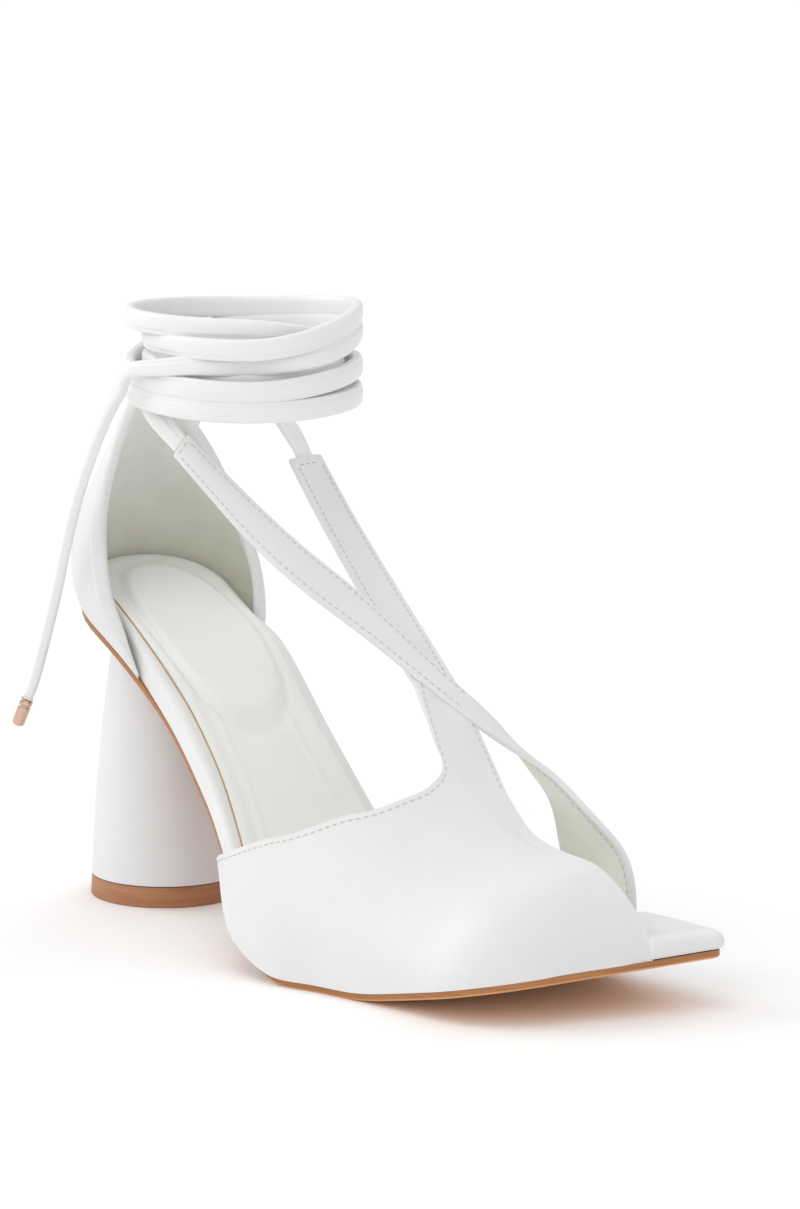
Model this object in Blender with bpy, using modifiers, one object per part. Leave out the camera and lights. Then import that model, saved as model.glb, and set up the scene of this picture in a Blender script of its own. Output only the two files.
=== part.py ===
"""Open-toe block-heel pump with crossed ankle straps and wrapped ties, one right shoe.

Run with: blender --background --python part.py

The shoe stands on z = 0 with its toe towards +X and its inner (medial) side towards +Y. The origin is the
middle of the heel's top piece on the floor. Sizes below are in millimetres, and MM turns them into metres.
"""

import math

import bmesh
import bpy
import numpy as np
from mathutils import Vector

MM = 0.001
CURVE_SAMPLES = 24

# Heel
HEEL_PROFILE = (
    # height, radius
    (6.8, 23.7),
    (27.0, 22.5),
    (54.0, 20.0),
    (74.0, 17.4),
    (100.0, 14.0),
)
TOP_PIECE_THICKNESS = 6.5
TOP_PIECE_RADIUS = 24.0
TOP_PIECE_WAIST = 23.6
HEEL_SIDES = 40
HEEL_STEPS = 6
TURNED_EDGE = 0.4
CUTTER_REACH = 34.0
CUTTER_TOP = 130.0
CUTTER_ROWS = 24

# Sole: its plan, in rows across the foot that turn with the slanted toe
OUTSOLE_THICKNESS = 2.3
TOE_STATION = 205.0
TOE_SLANT = 0.304
SLANT_START = 110.0
HEEL_BACK = -24.5
HEEL_ROUND = 0.9
HEEL_CROWDING = 0.92
SOLE_ROWS = 44
CORNER_ROWS = 6
OUTSOLE_COLUMNS = 8
FOOTBED_COLUMNS = 12
END_FADE = 6
OUTSOLE_CHAMFER = 0.5
LATERAL_CORNER_RADIUS = 20.0
MEDIAL_CORNER_RADIUS = 5.0
SOLE_PLAN = (
    # station, lateral half-width, medial half-width
    (0.0, 25.5, 28.0),
    (30.0, 25.3, 24.8),
    (60.0, 28.6, 22.2),
    (80.0, 34.5, 22.8),
    (98.0, 43.6, 27.5),
    (115.0, 44.6, 35.0),
    (136.0, 40.0, 41.0),
    (160.0, 36.6, 43.2),
    (182.0, 34.4, 42.2),
    (205.0, 32.6, 41.6),
)

# Sole: its profile, from the high heel seat down to the flat tread and up the toe spring
SOLE_PROFILE = (
    # x, underside height
    (-26.0, 95.0),
    (1.0, 83.2),
    (31.0, 65.0),
    (56.0, 44.5),
    (81.0, 21.2),
    (101.0, 5.4),
    (116.0, 0.0),
)
TREAD_START = 116.0
TREAD_END = 142.0
TOE_TIP = 216.0
TOE_SPRING = 15.0
SPRING_EASE = 0.10

# Footbed: thickness over the outsole's underside, and the rise of its arch side
FOOTBED_TOP = (
    # x, height over the outsole's underside
    (-26.0, 12.3),
    (60.0, 12.3),
    (110.0, 12.0),
    (140.0, 13.5),
    (160.0, 14.6),
    (179.0, 14.3),
    (190.0, 12.6),
    (201.0, 10.7),
    (216.0, 8.6),
)
ARCH_RISE = (
    # x, rise of the medial edge
    (-26.0, 0.0),
    (0.0, 0.7),
    (32.0, 3.4),
    (60.0, 2.6),
    (92.0, 0.8),
    (116.0, 0.0),
)
ARCH_SPAN = (-8.0, 24.0)
FOOTBED_ROUND = 2.6
SHOULDER_STEPS = 3
UPPER_SEAT = 3.0
TOE_SEAT = 5.6
SEAT_EASE = 14.0
PLATFORM_OVERHANG = 1.4

# Upper: one wall over the forefoot whose straps cross on the instep
WALL = 1.7
GAP = 0.3
VAMP_START = 76.0
VAMP_LIFT = 0.5
VAMP_RIDGE = (
    # station, ridge side offset, ridge height before the toe rounds off
    (110.0, 17.0, 93.5),
    (121.0, 16.6, 86.5),
    (132.0, 15.9, 75.5),
    (143.0, 14.6, 63.0),
    (154.0, 12.6, 53.0),
    (163.0, 12.4, 46.2),
    (171.0, 13.0, 43.6),
    (182.0, 15.0, 41.6),
    (191.0, 16.2, 40.6),
    (205.0, 19.0, 39.5),
)
TOE_ROUND_LENGTH = 17.0
TOE_ROUND_POWER = 1.7
SECTION_POWER = (
    # station, fullness of the cross-section, 2 being an ellipse
    (79.0, 2.0),
    (120.0, 2.1),
    (150.0, 2.5),
    (205.0, 3.0),
)
VAMP_BULGE = 7.8
BULGE_END = 150.0
VAMP_OVERHANG = (
    # station, how far the upper stands out over the sole's edge
    (79.0, 2.8),
    (105.0, 2.2),
    (140.0, 0.8),
    (205.0, 0.4),
)
VAMP_TOPLINE = (
    # station, share of the way from the inner edge (0) to the sole's edge (1)
    (76.0, 1.0),
    (86.0, 0.885),
    (100.0, 0.78),
    (120.0, 0.68),
    (131.0, 0.585),
    (139.5, 0.46),
    (143.5, 0.31),
    (143.8, 0.22),
    (141.0, 0.15),
    (134.0, 0.14),
    (121.0, 0.125),
)
SHARE_LENGTH = 60.0
TOPLINE_AT_TOE = (0.60, 0.80)
STRAP_START = 121.0
VAMP_SIDE_ROWS = 10
VAMP_TOE_ROWS = 7
VAMP_EDGE_ROWS = 12
VAMP_COLUMNS = 10
TOPLINE_SAMPLES = 201
RIM_CROWDING = 1.5
STRAP_A_ROWS = 8
STRAP_B_ROWS = 26
STRAP_B_COLUMNS = 4
STRAP_CROWN = 0.6
STRAP_A = (
    # outer edge x, y, z, then inner edge x, y, z, from the instep to the tab
    ((89.0, 9.5, 105.6), (87.0, 23.0, 108.0)),
    (  # halfway up the ankle
        (60.6, 15.0, 125.2),
        (60.7, 28.0, 124.6),
    ),
    ((40.7, 18.5, 140.7), (40.5, 30.5, 141.1)),
)
STRAP_B = (
    # front edge x, y, z, then rear edge x, y, z, from the sole's medial edge to the tab
    ((176.6, 42.5, 26.0), (145.0, 42.5, 20.0)),
    ((172.6, 41.6, 38.0), (146.6, 38.6, 38.0)),
    ((165.3, 37.6, 49.0), (148.4, 33.6, 50.6)),
    ((150.6, 33.4, 60.2), (144.4, 29.0, 60.2)),
    ((134.0, 26.4, 72.8), (136.2, 21.6, 69.6)),
    ((120.4, 15.8, 86.6), (126.2, 10.6, 81.8)),
    ((101.0, 0.9, 108.2), (109.0, -4.3, 97.2)),
    ((85.6, -11.0, 123.2), (95.0, -19.8, 113.2)),
    ((69.2, -18.0, 136.3), (76.8, -26.2, 126.4)),
    ((49.4, -27.0, 152.9), (45.6, -31.4, 146.2)),
)
STRAP_B_FOOT = (167.6, 132.5)

# Counter: the closed back, from the sole's edge up to a rim that peaks behind the ankle
COUNTER_WALL = 2.0
COUNTER_LATERAL_END = 22.0
COUNTER_MEDIAL_END = 14.0
COUNTER_BULGE = 7.2
COUNTER_MIDDLE = 4.0
BULGE_FADE = 0.8
COUNTER_SAMPLES = 12
COUNTER_COLUMNS = 30
COUNTER_ROWS = 8
COUNTER_RIM = (
    # x, y, z from the lateral end of the rim over its peak to the medial end
    (15.5, -27.2, 88.0),
    (8.0, -27.6, 101.0),
    (3.0, -26.2, 120.0),
    (1.2, -22.6, 135.0),
    (-1.0, -15.5, 149.0),
    (-5.0, -8.0, 156.6),
    (-8.0, 0.0, 159.0),
    (-8.0, 8.0, 156.0),
    (-6.0, 14.4, 149.0),
    (0.0, 21.4, 134.0),
    (9.5, 26.4, 111.0),
    (12.6, 28.2, 96.0),
)

# Ties: rolled leather cords that leave the strap tabs, wrap the ankle and end in metal aglets
TIE_DIAMETER = 4.8
TIE_STEP = 12.5
TIE_BEVEL = 2
ANKLE_X = 42.0
ANKLE_Y = 0.0
ANKLE_LONG = 1.06
ANKLE_WIDE = 0.95
RIGHT_SIDE = 51.7
WRAP_STEP = 15.0
INNER = 29.4
OUTER = 34.8
TIE_A_START = 318.0
TIE_A_LEAD = ((40.2, 24.6, 141.8), (35.0, 25.2, 146.0), (27.0, 23.4, 150.6))
TIE_A_WRAP = (
    # turn so far in degrees, radius, height
    (48.0, INNER, 154.0),
    (138.0, INNER, 165.0),
    (228.0, INNER, 163.0),
    (318.0, INNER, 162.6),
    (408.0, INNER, 167.0),
    (498.0, INNER, 173.0),
    (588.0, INNER, 169.6),
    (678.0, INNER, 171.0),
    (768.0, INNER, 175.5),
    (858.0, INNER, 181.0),
    (948.0, OUTER, 180.9),
    (1038.0, OUTER, 189.3),
    (1128.0, OUTER, 186.0),
    (1218.0, OUTER, 187.3),
    (1308.0, INNER, 186.6),
    (1398.0, INNER, 178.4),
    (1443.0, OUTER, 176.6),
    (1488.0, 40.4, 174.6),
)
TIE_A_TAIL = (
    # x, y, z down to the free end
    (-4.0, 28.6, 168.5),
    (-13.0, 28.4, 159.0),
    (-20.0, 27.0, 146.0),
    (-25.0, 25.6, 131.0),
    (-27.6, 24.6, 115.0),
    (-28.6, 24.2, 102.0),
)
TIE_B_START = 132.0
TIE_B_LEAD = ((46.6, -29.4, 150.3), (40.5, -30.4, 153.6), (32.0, -28.8, 156.0))
TIE_B_WRAP = (
    # turn so far in degrees, radius, height
    (48.0, 30.0, 157.0),
    (75.0, 33.5, 158.6),
    (95.0, OUTER, 159.8),
    (138.0, OUTER, 161.8),
    (228.0, OUTER, 161.5),
    (318.0, OUTER, 159.4),
    (408.0, OUTER, 162.2),
    (498.0, OUTER, 169.6),
    (588.0, OUTER, 172.0),
    (678.0, OUTER, 167.4),
    (768.0, OUTER, 170.5),
    (858.0, OUTER, 180.0),
    (948.0, OUTER, 184.0),
    (983.0, OUTER, 180.0),
    (1008.0, 33.0, 177.2),
    (1038.0, INNER, 175.3),
    (1068.0, 33.6, 175.2),
    (1098.0, 40.4, 172.0),
)
TIE_B_TAIL = (
    # x, y, z down to the free end
    (24.4, -38.6, 163.0),
    (18.7, -39.0, 150.8),
    (11.2, -39.5, 134.2),
    (3.4, -40.0, 116.0),
    (-2.9, -40.5, 101.0),
    (-9.9, -41.0, 84.2),
    (-18.0, -41.5, 67.0),
    (-20.6, -41.8, 64.0),
)
AGLET_LENGTH = 10.5
AGLET_RADIUS = 2.5
AGLET_SIDES = 16


def clear_scene():
    for old in list(bpy.data.objects):
        bpy.data.objects.remove(old)


def smooth(table, at, column=1):
    """A smooth curve through one column of a table, read at a place along its first column."""
    xs = [row[0] for row in table]
    ys = [row[column] for row in table]
    if at <= xs[0]:
        return ys[0]
    if at >= xs[-1]:
        return ys[-1]
    i = max(k for k in range(len(xs) - 1) if xs[k] <= at)
    steps = [(ys[k + 1] - ys[k]) / (xs[k + 1] - xs[k]) for k in range(len(xs) - 1)]

    def slope(k):
        if k == 0:
            return steps[0]
        if k == len(xs) - 1:
            return steps[-1]
        before, after = steps[k - 1], steps[k]
        return 0.0 if before * after <= 0 else 2 * before * after / (before + after)

    width = xs[i + 1] - xs[i]
    t = (at - xs[i]) / width
    return (
        ys[i] * (1 + 2 * t) * (1 - t) ** 2
        + ys[i + 1] * t * t * (3 - 2 * t)
        + width * t * (1 - t) * (slope(i) * (1 - t) - slope(i + 1) * t)
    )


def ease(start, end, at):
    t = min(max((at - start) / (end - start), 0.0), 1.0)
    return t * t * (3 - 2 * t)


def along(points, count):
    """count points at even steps of length along a smooth curve through the given points."""
    points = np.array(points, float)
    ends = np.vstack([2 * points[0] - points[1], points, 2 * points[-1] - points[-2]])
    fine = []
    for i in range(len(points) - 1):
        p0, p1, p2, p3 = ends[i : i + 4]
        for t in np.linspace(0, 1, CURVE_SAMPLES, endpoint=False):
            fine.append(
                0.5
                * (
                    2 * p1
                    + (p2 - p0) * t
                    + (2 * p0 - 5 * p1 + 4 * p2 - p3) * t * t
                    + (3 * p1 - p0 - 3 * p2 + p3) * t**3
                )
            )
    fine = np.vstack([fine, points[-1]])
    length = np.concatenate([[0], np.cumsum(np.linalg.norm(np.diff(fine, axis=0), axis=1))])
    wanted = np.linspace(0, length[-1], count)
    return np.stack([np.interp(wanted, length, fine[:, k]) for k in range(fine.shape[1])], axis=1)


# The sole's plan and profile


def slant(station):
    return TOE_SLANT * max(station - SLANT_START, 0.0) / (TOE_STATION - SLANT_START)


def placed(station, y):
    """Plan position of a point y to the side on a station's row."""
    return np.array([station + slant(station) * y, y])


def corner_loss(station, radius):
    """How much a rounded toe corner narrows the row at a station."""
    into = max(station - (TOE_STATION - radius), 0.0)
    return radius - math.sqrt(max(radius * radius - into * into, 0.0))


def lateral_edge(station):
    return -(smooth(SOLE_PLAN, station, 1) - corner_loss(station, LATERAL_CORNER_RADIUS))


def medial_edge(station):
    return smooth(SOLE_PLAN, station, 2) - corner_loss(station, MEDIAL_CORNER_RADIUS)


def underside(x):
    """Height of the outsole's underside: seat and arch, flat tread, then toe spring."""
    if x <= TREAD_START:
        return smooth(SOLE_PROFILE, x)
    if x <= TREAD_END:
        return 0.0
    t = (x - TREAD_END) / (TOE_TIP - TREAD_END)
    full = math.hypot(1.0, SPRING_EASE) - SPRING_EASE
    return TOE_SPRING * (math.hypot(t, SPRING_EASE) - SPRING_EASE) / full


def upper_floor(x):
    """Height at which the upper's lower edge meets the outsole."""
    return underside(x) + OUTSOLE_THICKNESS + GAP


def upper_floor_at(x, y):
    return upper_floor(x)


def heel_edge(turn):
    """Point on the heel seat's edge: -1 on the lateral side, 0 at the back, 1 on the medial side."""
    angle = turn * math.pi / 2
    across = smooth(SOLE_PLAN, 0.0, 2) if turn > 0 else smooth(SOLE_PLAN, 0.0, 1)
    y = across * math.copysign(abs(math.sin(angle)) ** HEEL_ROUND, turn)
    return np.array([HEEL_BACK * math.cos(angle) ** HEEL_ROUND, y])


def row_stations(rows):
    """Stations of the rows across the sole, even along the foot and close together round the toe corner."""
    round_start = TOE_STATION - LATERAL_CORNER_RADIUS
    straight = rows - CORNER_ROWS
    stations = [round_start * (k / straight) ** HEEL_CROWDING for k in range(straight + 1)]
    for k in range(1, CORNER_ROWS + 1):
        stations.append(round_start + LATERAL_CORNER_RADIUS * math.sin(math.pi / 2 * k / CORNER_ROWS))
    return stations


def edge_loop(rows, columns):
    """Grid spots round the border of rows by columns of faces: lateral side, toe, medial side, heel."""
    loop = [(i, 0) for i in range(rows + 1)]
    loop += [(rows, j) for j in range(1, columns + 1)]
    loop += [(i, columns) for i in range(rows - 1, -1, -1)]
    loop += [(0, j) for j in range(columns - 1, 0, -1)]
    return loop


def inward(points):
    """Unit inward direction at each point of a closed plan loop that runs from lateral to medial by the toe."""
    tangent = np.roll(points, -1, axis=0) - np.roll(points, 1, axis=0)
    normal = np.stack([-tangent[:, 1], tangent[:, 0]], axis=1)
    return normal / np.linalg.norm(normal, axis=1, keepdims=True)


def sole_grid(rows, columns, depth=None):
    """Plan grid over the sole, whose border is drawn in by depth(run, station, x, y) where that is given."""
    stations = row_stations(rows)
    front_y = np.linspace(lateral_edge(TOE_STATION), medial_edge(TOE_STATION), columns + 1)
    border = {}
    for i, station in enumerate(stations):
        border[i, 0] = ("lateral", station, placed(station, lateral_edge(station)))
        border[i, columns] = ("medial", station, placed(station, medial_edge(station)))
    for j in range(1, columns):
        border[0, j] = ("heel", 0.0, heel_edge(2 * j / columns - 1))
        border[rows, j] = ("toe", TOE_STATION, placed(TOE_STATION, front_y[j]))
    loop = edge_loop(rows, columns)
    towards = inward(np.array([border[spot][2] for spot in loop]))
    edge = {}
    for spot, way in zip(loop, towards):
        run, station, point = border[spot]
        edge[spot] = point + way * (depth(run, station, *point) if depth else 0.0)
    grid = np.zeros((rows + 1, columns + 1, 2))
    for i in range(rows + 1):
        v = i / rows
        for j in range(columns + 1):
            u = j / columns
            grid[i, j] = (1 - u) * edge[i, 0] + u * edge[i, columns]
            for end, fade in ((0, (1 - v) ** END_FADE), (rows, v**END_FADE)):
                straight = (1 - u) * edge[end, 0] + u * edge[end, columns]
                grid[i, j] += fade * (edge[end, j] - straight)
    return grid


# Objects and materials


def make_material(name, colour, roughness, metallic=0.0):
    material = bpy.data.materials.new(name)
    material.use_nodes = True
    shader = material.node_tree.nodes["Principled BSDF"]
    shader.inputs["Base Color"].default_value = (*colour, 1.0)
    shader.inputs["Roughness"].default_value = roughness
    shader.inputs["Metallic"].default_value = metallic
    return material


def add_object(name, data, collection, material=None):
    thing = bpy.data.objects.new(name, data)
    if material:
        data.materials.append(material)
    collection.objects.link(thing)
    return thing


def mesh_of(name, points, faces, closed=True):
    """A mesh from points in millimetres. A closed one has its faces turned outwards."""
    mesh = bpy.data.meshes.new(name)
    mesh.from_pydata([tuple(np.array(p) * MM) for p in points], [], [tuple(f) for f in faces])
    work = bmesh.new()
    work.from_mesh(mesh)
    bmesh.ops.remove_doubles(work, verts=work.verts, dist=1e-6)
    if closed:
        bmesh.ops.recalc_face_normals(work, faces=work.faces)
    work.to_mesh(mesh)
    work.free()
    return mesh


def slab(name, levels):
    """A closed slab. Each level is (plan grid, height function), bottom first and top last."""
    rows, columns = levels[0][0].shape[0] - 1, levels[0][0].shape[1] - 1
    loop = edge_loop(rows, columns)
    points, faces, rings = [], [], []
    for grid, height in levels:
        ring = {}
        for spot in loop:
            x, y = grid[spot]
            ring[spot] = len(points)
            points.append((x, y, height(x, y)))
        rings.append(ring)
    for below, above in zip(rings, rings[1:]):
        for spot, after in zip(loop, loop[1:] + loop[:1]):
            faces.append((below[spot], below[after], above[after], above[spot]))
    for ring, (grid, height) in ((rings[0], levels[0]), (rings[-1], levels[-1])):
        at = dict(ring)
        for i in range(1, rows):
            for j in range(1, columns):
                x, y = grid[i, j]
                at[i, j] = len(points)
                points.append((x, y, height(x, y)))
        for i in range(rows):
            for j in range(columns):
                faces.append((at[i, j], at[i, j + 1], at[i + 1, j + 1], at[i + 1, j]))
    return mesh_of(name, points, faces)


def patch(name, grid):
    """An open surface over a grid of points. It faces the way that columns crossed with rows point."""
    rows, columns = len(grid), len(grid[0])
    points = [p for row in grid for p in row]
    faces = []
    for i in range(rows - 1):
        for j in range(columns - 1):
            a = i * columns + j
            faces.append((a, a + 1, a + columns + 1, a + columns))
    return mesh_of(name, points, faces, closed=False)


def thicken(thing, wall):
    """Gives an open surface a wall on its inner side."""
    shell = thing.modifiers.new("wall", "SOLIDIFY")
    shell.thickness = wall * MM
    shell.offset = -1.0
    shell.use_even_offset = False
    shell.use_rim = True


def boolean(thing, other, operation):
    cut = thing.modifiers.new(operation.lower(), "BOOLEAN")
    cut.operation = operation
    cut.object = other
    cut.solver = "EXACT"


# Sole pieces


def build_outsole(parts, material):
    full = sole_grid(SOLE_ROWS, OUTSOLE_COLUMNS)
    drawn_in = sole_grid(SOLE_ROWS, OUTSOLE_COLUMNS, lambda *spot: OUTSOLE_CHAMFER)
    levels = (
        (drawn_in, lambda x, y: underside(x)),
        (full, lambda x, y: underside(x) + OUTSOLE_CHAMFER),
        (full, lambda x, y: underside(x) + OUTSOLE_THICKNESS),
    )
    return add_object("outsole", slab("outsole", levels), parts, material)


def footbed_top(x, y):
    """Height of the footbed's upper face, whose arch side rises."""
    return underside(x) + smooth(FOOTBED_TOP, x) + smooth(ARCH_RISE, x) * ease(*ARCH_SPAN, y)


def seat_depth(run, station, x, y):
    """How far the footbed stands back from the sole's edge to make room for the upper and the counter."""
    if run == "heel":
        return UPPER_SEAT
    if run == "lateral":
        counter = 1.0 - ease(COUNTER_LATERAL_END, COUNTER_LATERAL_END + SEAT_EASE, x)
        vamp = ease(VAMP_START - SEAT_EASE, VAMP_START, station)
        corner = ease(TOE_STATION - LATERAL_CORNER_RADIUS, TOE_STATION - MEDIAL_CORNER_RADIUS, station)
        return UPPER_SEAT * max(counter, vamp) + (TOE_SEAT - UPPER_SEAT) * corner
    if run == "medial":
        front, rear = STRAP_B_FOOT
        counter = 1.0 - ease(COUNTER_MEDIAL_END, COUNTER_MEDIAL_END + SEAT_EASE, x)
        strap = ease(rear - SEAT_EASE, rear - MEDIAL_CORNER_RADIUS, station)
        bare = ease(front + GAP, front + MEDIAL_CORNER_RADIUS, station)
        return UPPER_SEAT * max(counter, strap) * (1.0 - bare) - PLATFORM_OVERHANG * bare
    vamp_end = smooth(VAMP_RIDGE, TOE_STATION, 1) + WALL
    bare = ease(vamp_end, vamp_end + WALL, y)
    return TOE_SEAT * (1.0 - bare) - PLATFORM_OVERHANG * bare


def build_footbed(parts, material):
    """The covered platform and insole, with a rounded upper edge."""

    def shoulder(share):
        turn = share * math.pi / 2
        draw = FOOTBED_ROUND * (1 - math.cos(turn))
        drop = FOOTBED_ROUND * (1 - math.sin(turn))
        grid = sole_grid(SOLE_ROWS, FOOTBED_COLUMNS, lambda *spot: seat_depth(*spot) + draw)
        return grid, lambda x, y: footbed_top(x, y) - drop

    foot = sole_grid(SOLE_ROWS, FOOTBED_COLUMNS, lambda *spot: max(seat_depth(*spot), 0.0))
    levels = [(foot, upper_floor_at)]
    levels += [shoulder(k / SHOULDER_STEPS) for k in range(SHOULDER_STEPS + 1)]
    return add_object("footbed", slab("footbed", levels), parts, material)


def turned(name, profile, sides, collection, material):
    """A solid of revolution about Z: a profile of (radius, height) turned by a Screw modifier."""
    points = [(radius * MM, 0.0, height * MM) for radius, height in profile]
    edges = [(k, k + 1) for k in range(len(points) - 1)]
    mesh = bpy.data.meshes.new(name)
    mesh.from_pydata(points, edges, [])
    thing = add_object(name, mesh, collection, material)
    screw = thing.modifiers.new("turn", "SCREW")
    screw.steps = sides
    screw.render_steps = sides
    screw.use_merge_vertices = True
    screw.merge_threshold = 1e-5
    screw.use_normal_calculate = True
    return thing


def build_heel(parts, cutters, material):
    """The conical block, cut off under the sloping heel seat."""
    low, high = HEEL_PROFILE[0][0], HEEL_PROFILE[-1][0]
    heights = np.linspace(high, low, HEEL_STEPS + 1)
    profile = [(0.0, high)] + [(smooth(HEEL_PROFILE, z), z) for z in heights] + [(0.0, low)]
    heel = turned("heel", profile, HEEL_SIDES, parts, material)
    reach, top = CUTTER_REACH, CUTTER_TOP
    points, faces = [], []
    for k in range(CUTTER_ROWS + 1):
        x = -reach + 2 * reach * k / CUTTER_ROWS
        z = underside(x) - GAP
        points += [(x, -reach, z), (x, reach, z), (x, reach, top), (x, -reach, top)]
    for k in range(CUTTER_ROWS):
        a = 4 * k
        for side in range(4):
            b = (side + 1) % 4
            faces.append((a + side, a + b, a + 4 + b, a + 4 + side))
    faces += [(0, 1, 2, 3), tuple(4 * CUTTER_ROWS + n for n in range(4))]
    cutter = add_object("seat_cutter", mesh_of("seat_cutter", points, faces), cutters)
    boolean(heel, cutter, "DIFFERENCE")
    return heel


def build_top_piece(parts, material):
    profile = [
        (0.0, TOP_PIECE_THICKNESS),
        (TOP_PIECE_WAIST, TOP_PIECE_THICKNESS),
        (TOP_PIECE_RADIUS, TURNED_EDGE),
        (TOP_PIECE_RADIUS - TURNED_EDGE, 0.0),
        (0.0, 0.0),
    ]
    return turned("heel_top_piece", profile, HEEL_SIDES, parts, material)


# Upper


def ridge_height(station):
    """Height of the vamp's inner edge, rounded off into the toe's front wall."""
    x = placed(station, smooth(VAMP_RIDGE, station, 1))[0]
    floor = upper_floor(x) + VAMP_LIFT
    into = max(station - (TOE_STATION - TOE_ROUND_LENGTH), 0.0) / TOE_ROUND_LENGTH
    keep = max(1.0 - min(into, 1.0) ** TOE_ROUND_POWER, 0.0) ** (1 / TOE_ROUND_POWER)
    return floor + (smooth(VAMP_RIDGE, station, 2) - floor) * keep


def vamp_point(station, share):
    """Point of the vamp's outer face, from its inner edge (share 0) down to the sole's lateral edge (1)."""
    power = 2.0 / smooth(SECTION_POWER, station)
    angle = share * math.pi / 2
    ridge = smooth(VAMP_RIDGE, station, 1)
    edge = lateral_edge(station) - smooth(VAMP_OVERHANG, station)
    lean = math.sin(angle) ** power
    rise = max(math.cos(angle), 0.0) ** power
    y = ridge + (edge - ridge) * lean
    x = placed(station, y)[0]
    floor = upper_floor(x) + VAMP_LIFT
    high = ridge_height(station)
    swell = VAMP_BULGE * math.sin(angle) ** 4 * math.cos(angle) * ease(TOE_STATION, BULGE_END, station)
    return np.array([x, y - swell, floor + (high - floor) * rise])


def vamp_rim():
    """The vamp's border as (station, share): along the sole, round the toe, back up its inner edge."""
    round_start = TOE_STATION - LATERAL_CORNER_RADIUS
    rim = [(s, 1.0) for s in np.linspace(VAMP_START, round_start, VAMP_SIDE_ROWS + 1)]
    for k in range(1, CORNER_ROWS + 1):
        rim.append((round_start + LATERAL_CORNER_RADIUS * math.sin(math.pi / 2 * k / CORNER_ROWS), 1.0))
    fullness = smooth(SECTION_POWER, TOE_STATION)
    for k in range(1, VAMP_TOE_ROWS + 1):
        lean = 1.0 - k / VAMP_TOE_ROWS
        rim.append((TOE_STATION, math.asin(lean ** (fullness / 2)) / (math.pi / 2)))
    for k in range(1, VAMP_EDGE_ROWS + 1):
        rim.append((TOE_STATION + (STRAP_START - TOE_STATION) * (k / VAMP_EDGE_ROWS) ** RIM_CROWDING, 0.0))
    return rim


def vamp_grid():
    """The vamp's outer face: each row runs from the topline out to the rim, closer together near the rim."""
    rim = vamp_rim()
    corner = VAMP_SIDE_ROWS + CORNER_ROWS
    toe_end = corner + VAMP_TOE_ROWS
    last = toe_end + VAMP_EDGE_ROWS
    topline = along([(s, w * SHARE_LENGTH) for s, w in VAMP_TOPLINE], TOPLINE_SAMPLES)
    grid = []
    for i, (rim_station, rim_share) in enumerate(rim):
        reach = np.interp(i, (0, corner, toe_end, last), (0.0, *TOPLINE_AT_TOE, 1.0))
        sample = reach * (TOPLINE_SAMPLES - 1)
        station, share = (np.interp(sample, range(TOPLINE_SAMPLES), topline[:, k]) for k in (0, 1))
        share /= SHARE_LENGTH
        line = []
        for t in vamp_steps():
            line.append(vamp_point(station + (rim_station - station) * t, share + (rim_share - share) * t))
        grid.append(line)
    return grid


def vamp_steps():
    """Shares of the way from topline to rim."""
    return [1.0 - (1.0 - j / VAMP_COLUMNS) ** RIM_CROWDING for j in range(VAMP_COLUMNS + 1)]


def ribbon(edges, rows, columns, crown):
    """Rows of points between a strap's two edges, bowed outwards by crown at the middle."""
    first = along([pair[0] for pair in edges], rows + 1)
    second = along([pair[1] for pair in edges], rows + 1)
    grid = []
    for i in range(rows + 1):
        ahead = first[min(i + 1, rows)] + second[min(i + 1, rows)]
        behind = first[max(i - 1, 0)] + second[max(i - 1, 0)]
        across = second[i] - first[i]
        out = np.cross(across, ahead - behind)
        out /= np.linalg.norm(out)
        line = []
        for j in range(columns + 1):
            u = j / columns
            line.append(first[i] + across * u + out * crown * 4 * u * (1 - u))
        grid.append(line)
    return grid


def build_upper(parts, cutters, material):
    """The vamp with its own strap, joined to the strap that crosses it from the sole's medial edge."""
    vamp = vamp_grid()
    edges = [(vamp[-1][0], vamp[-1][-1]), *STRAP_A]
    first = along([pair[0] for pair in edges], STRAP_A_ROWS + 1)[1:]
    second = along([pair[1] for pair in edges], STRAP_A_ROWS + 1)[1:]
    for a, b in zip(first, second):
        vamp.append([a + (b - a) * t for t in vamp_steps()])
    upper = add_object("upper", patch("upper", vamp), parts, material)
    thicken(upper, WALL)

    foot = []
    for station in STRAP_B_FOOT:
        x, y = placed(station, medial_edge(station))
        foot.append((x, y, upper_floor(x)))
    band = ribbon([tuple(foot), *STRAP_B], STRAP_B_ROWS, STRAP_B_COLUMNS, STRAP_CROWN)
    strap = add_object("crossing_strap", patch("crossing_strap", band), cutters)
    thicken(strap, WALL)
    boolean(upper, strap, "UNION")
    return upper


# Counter


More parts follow.
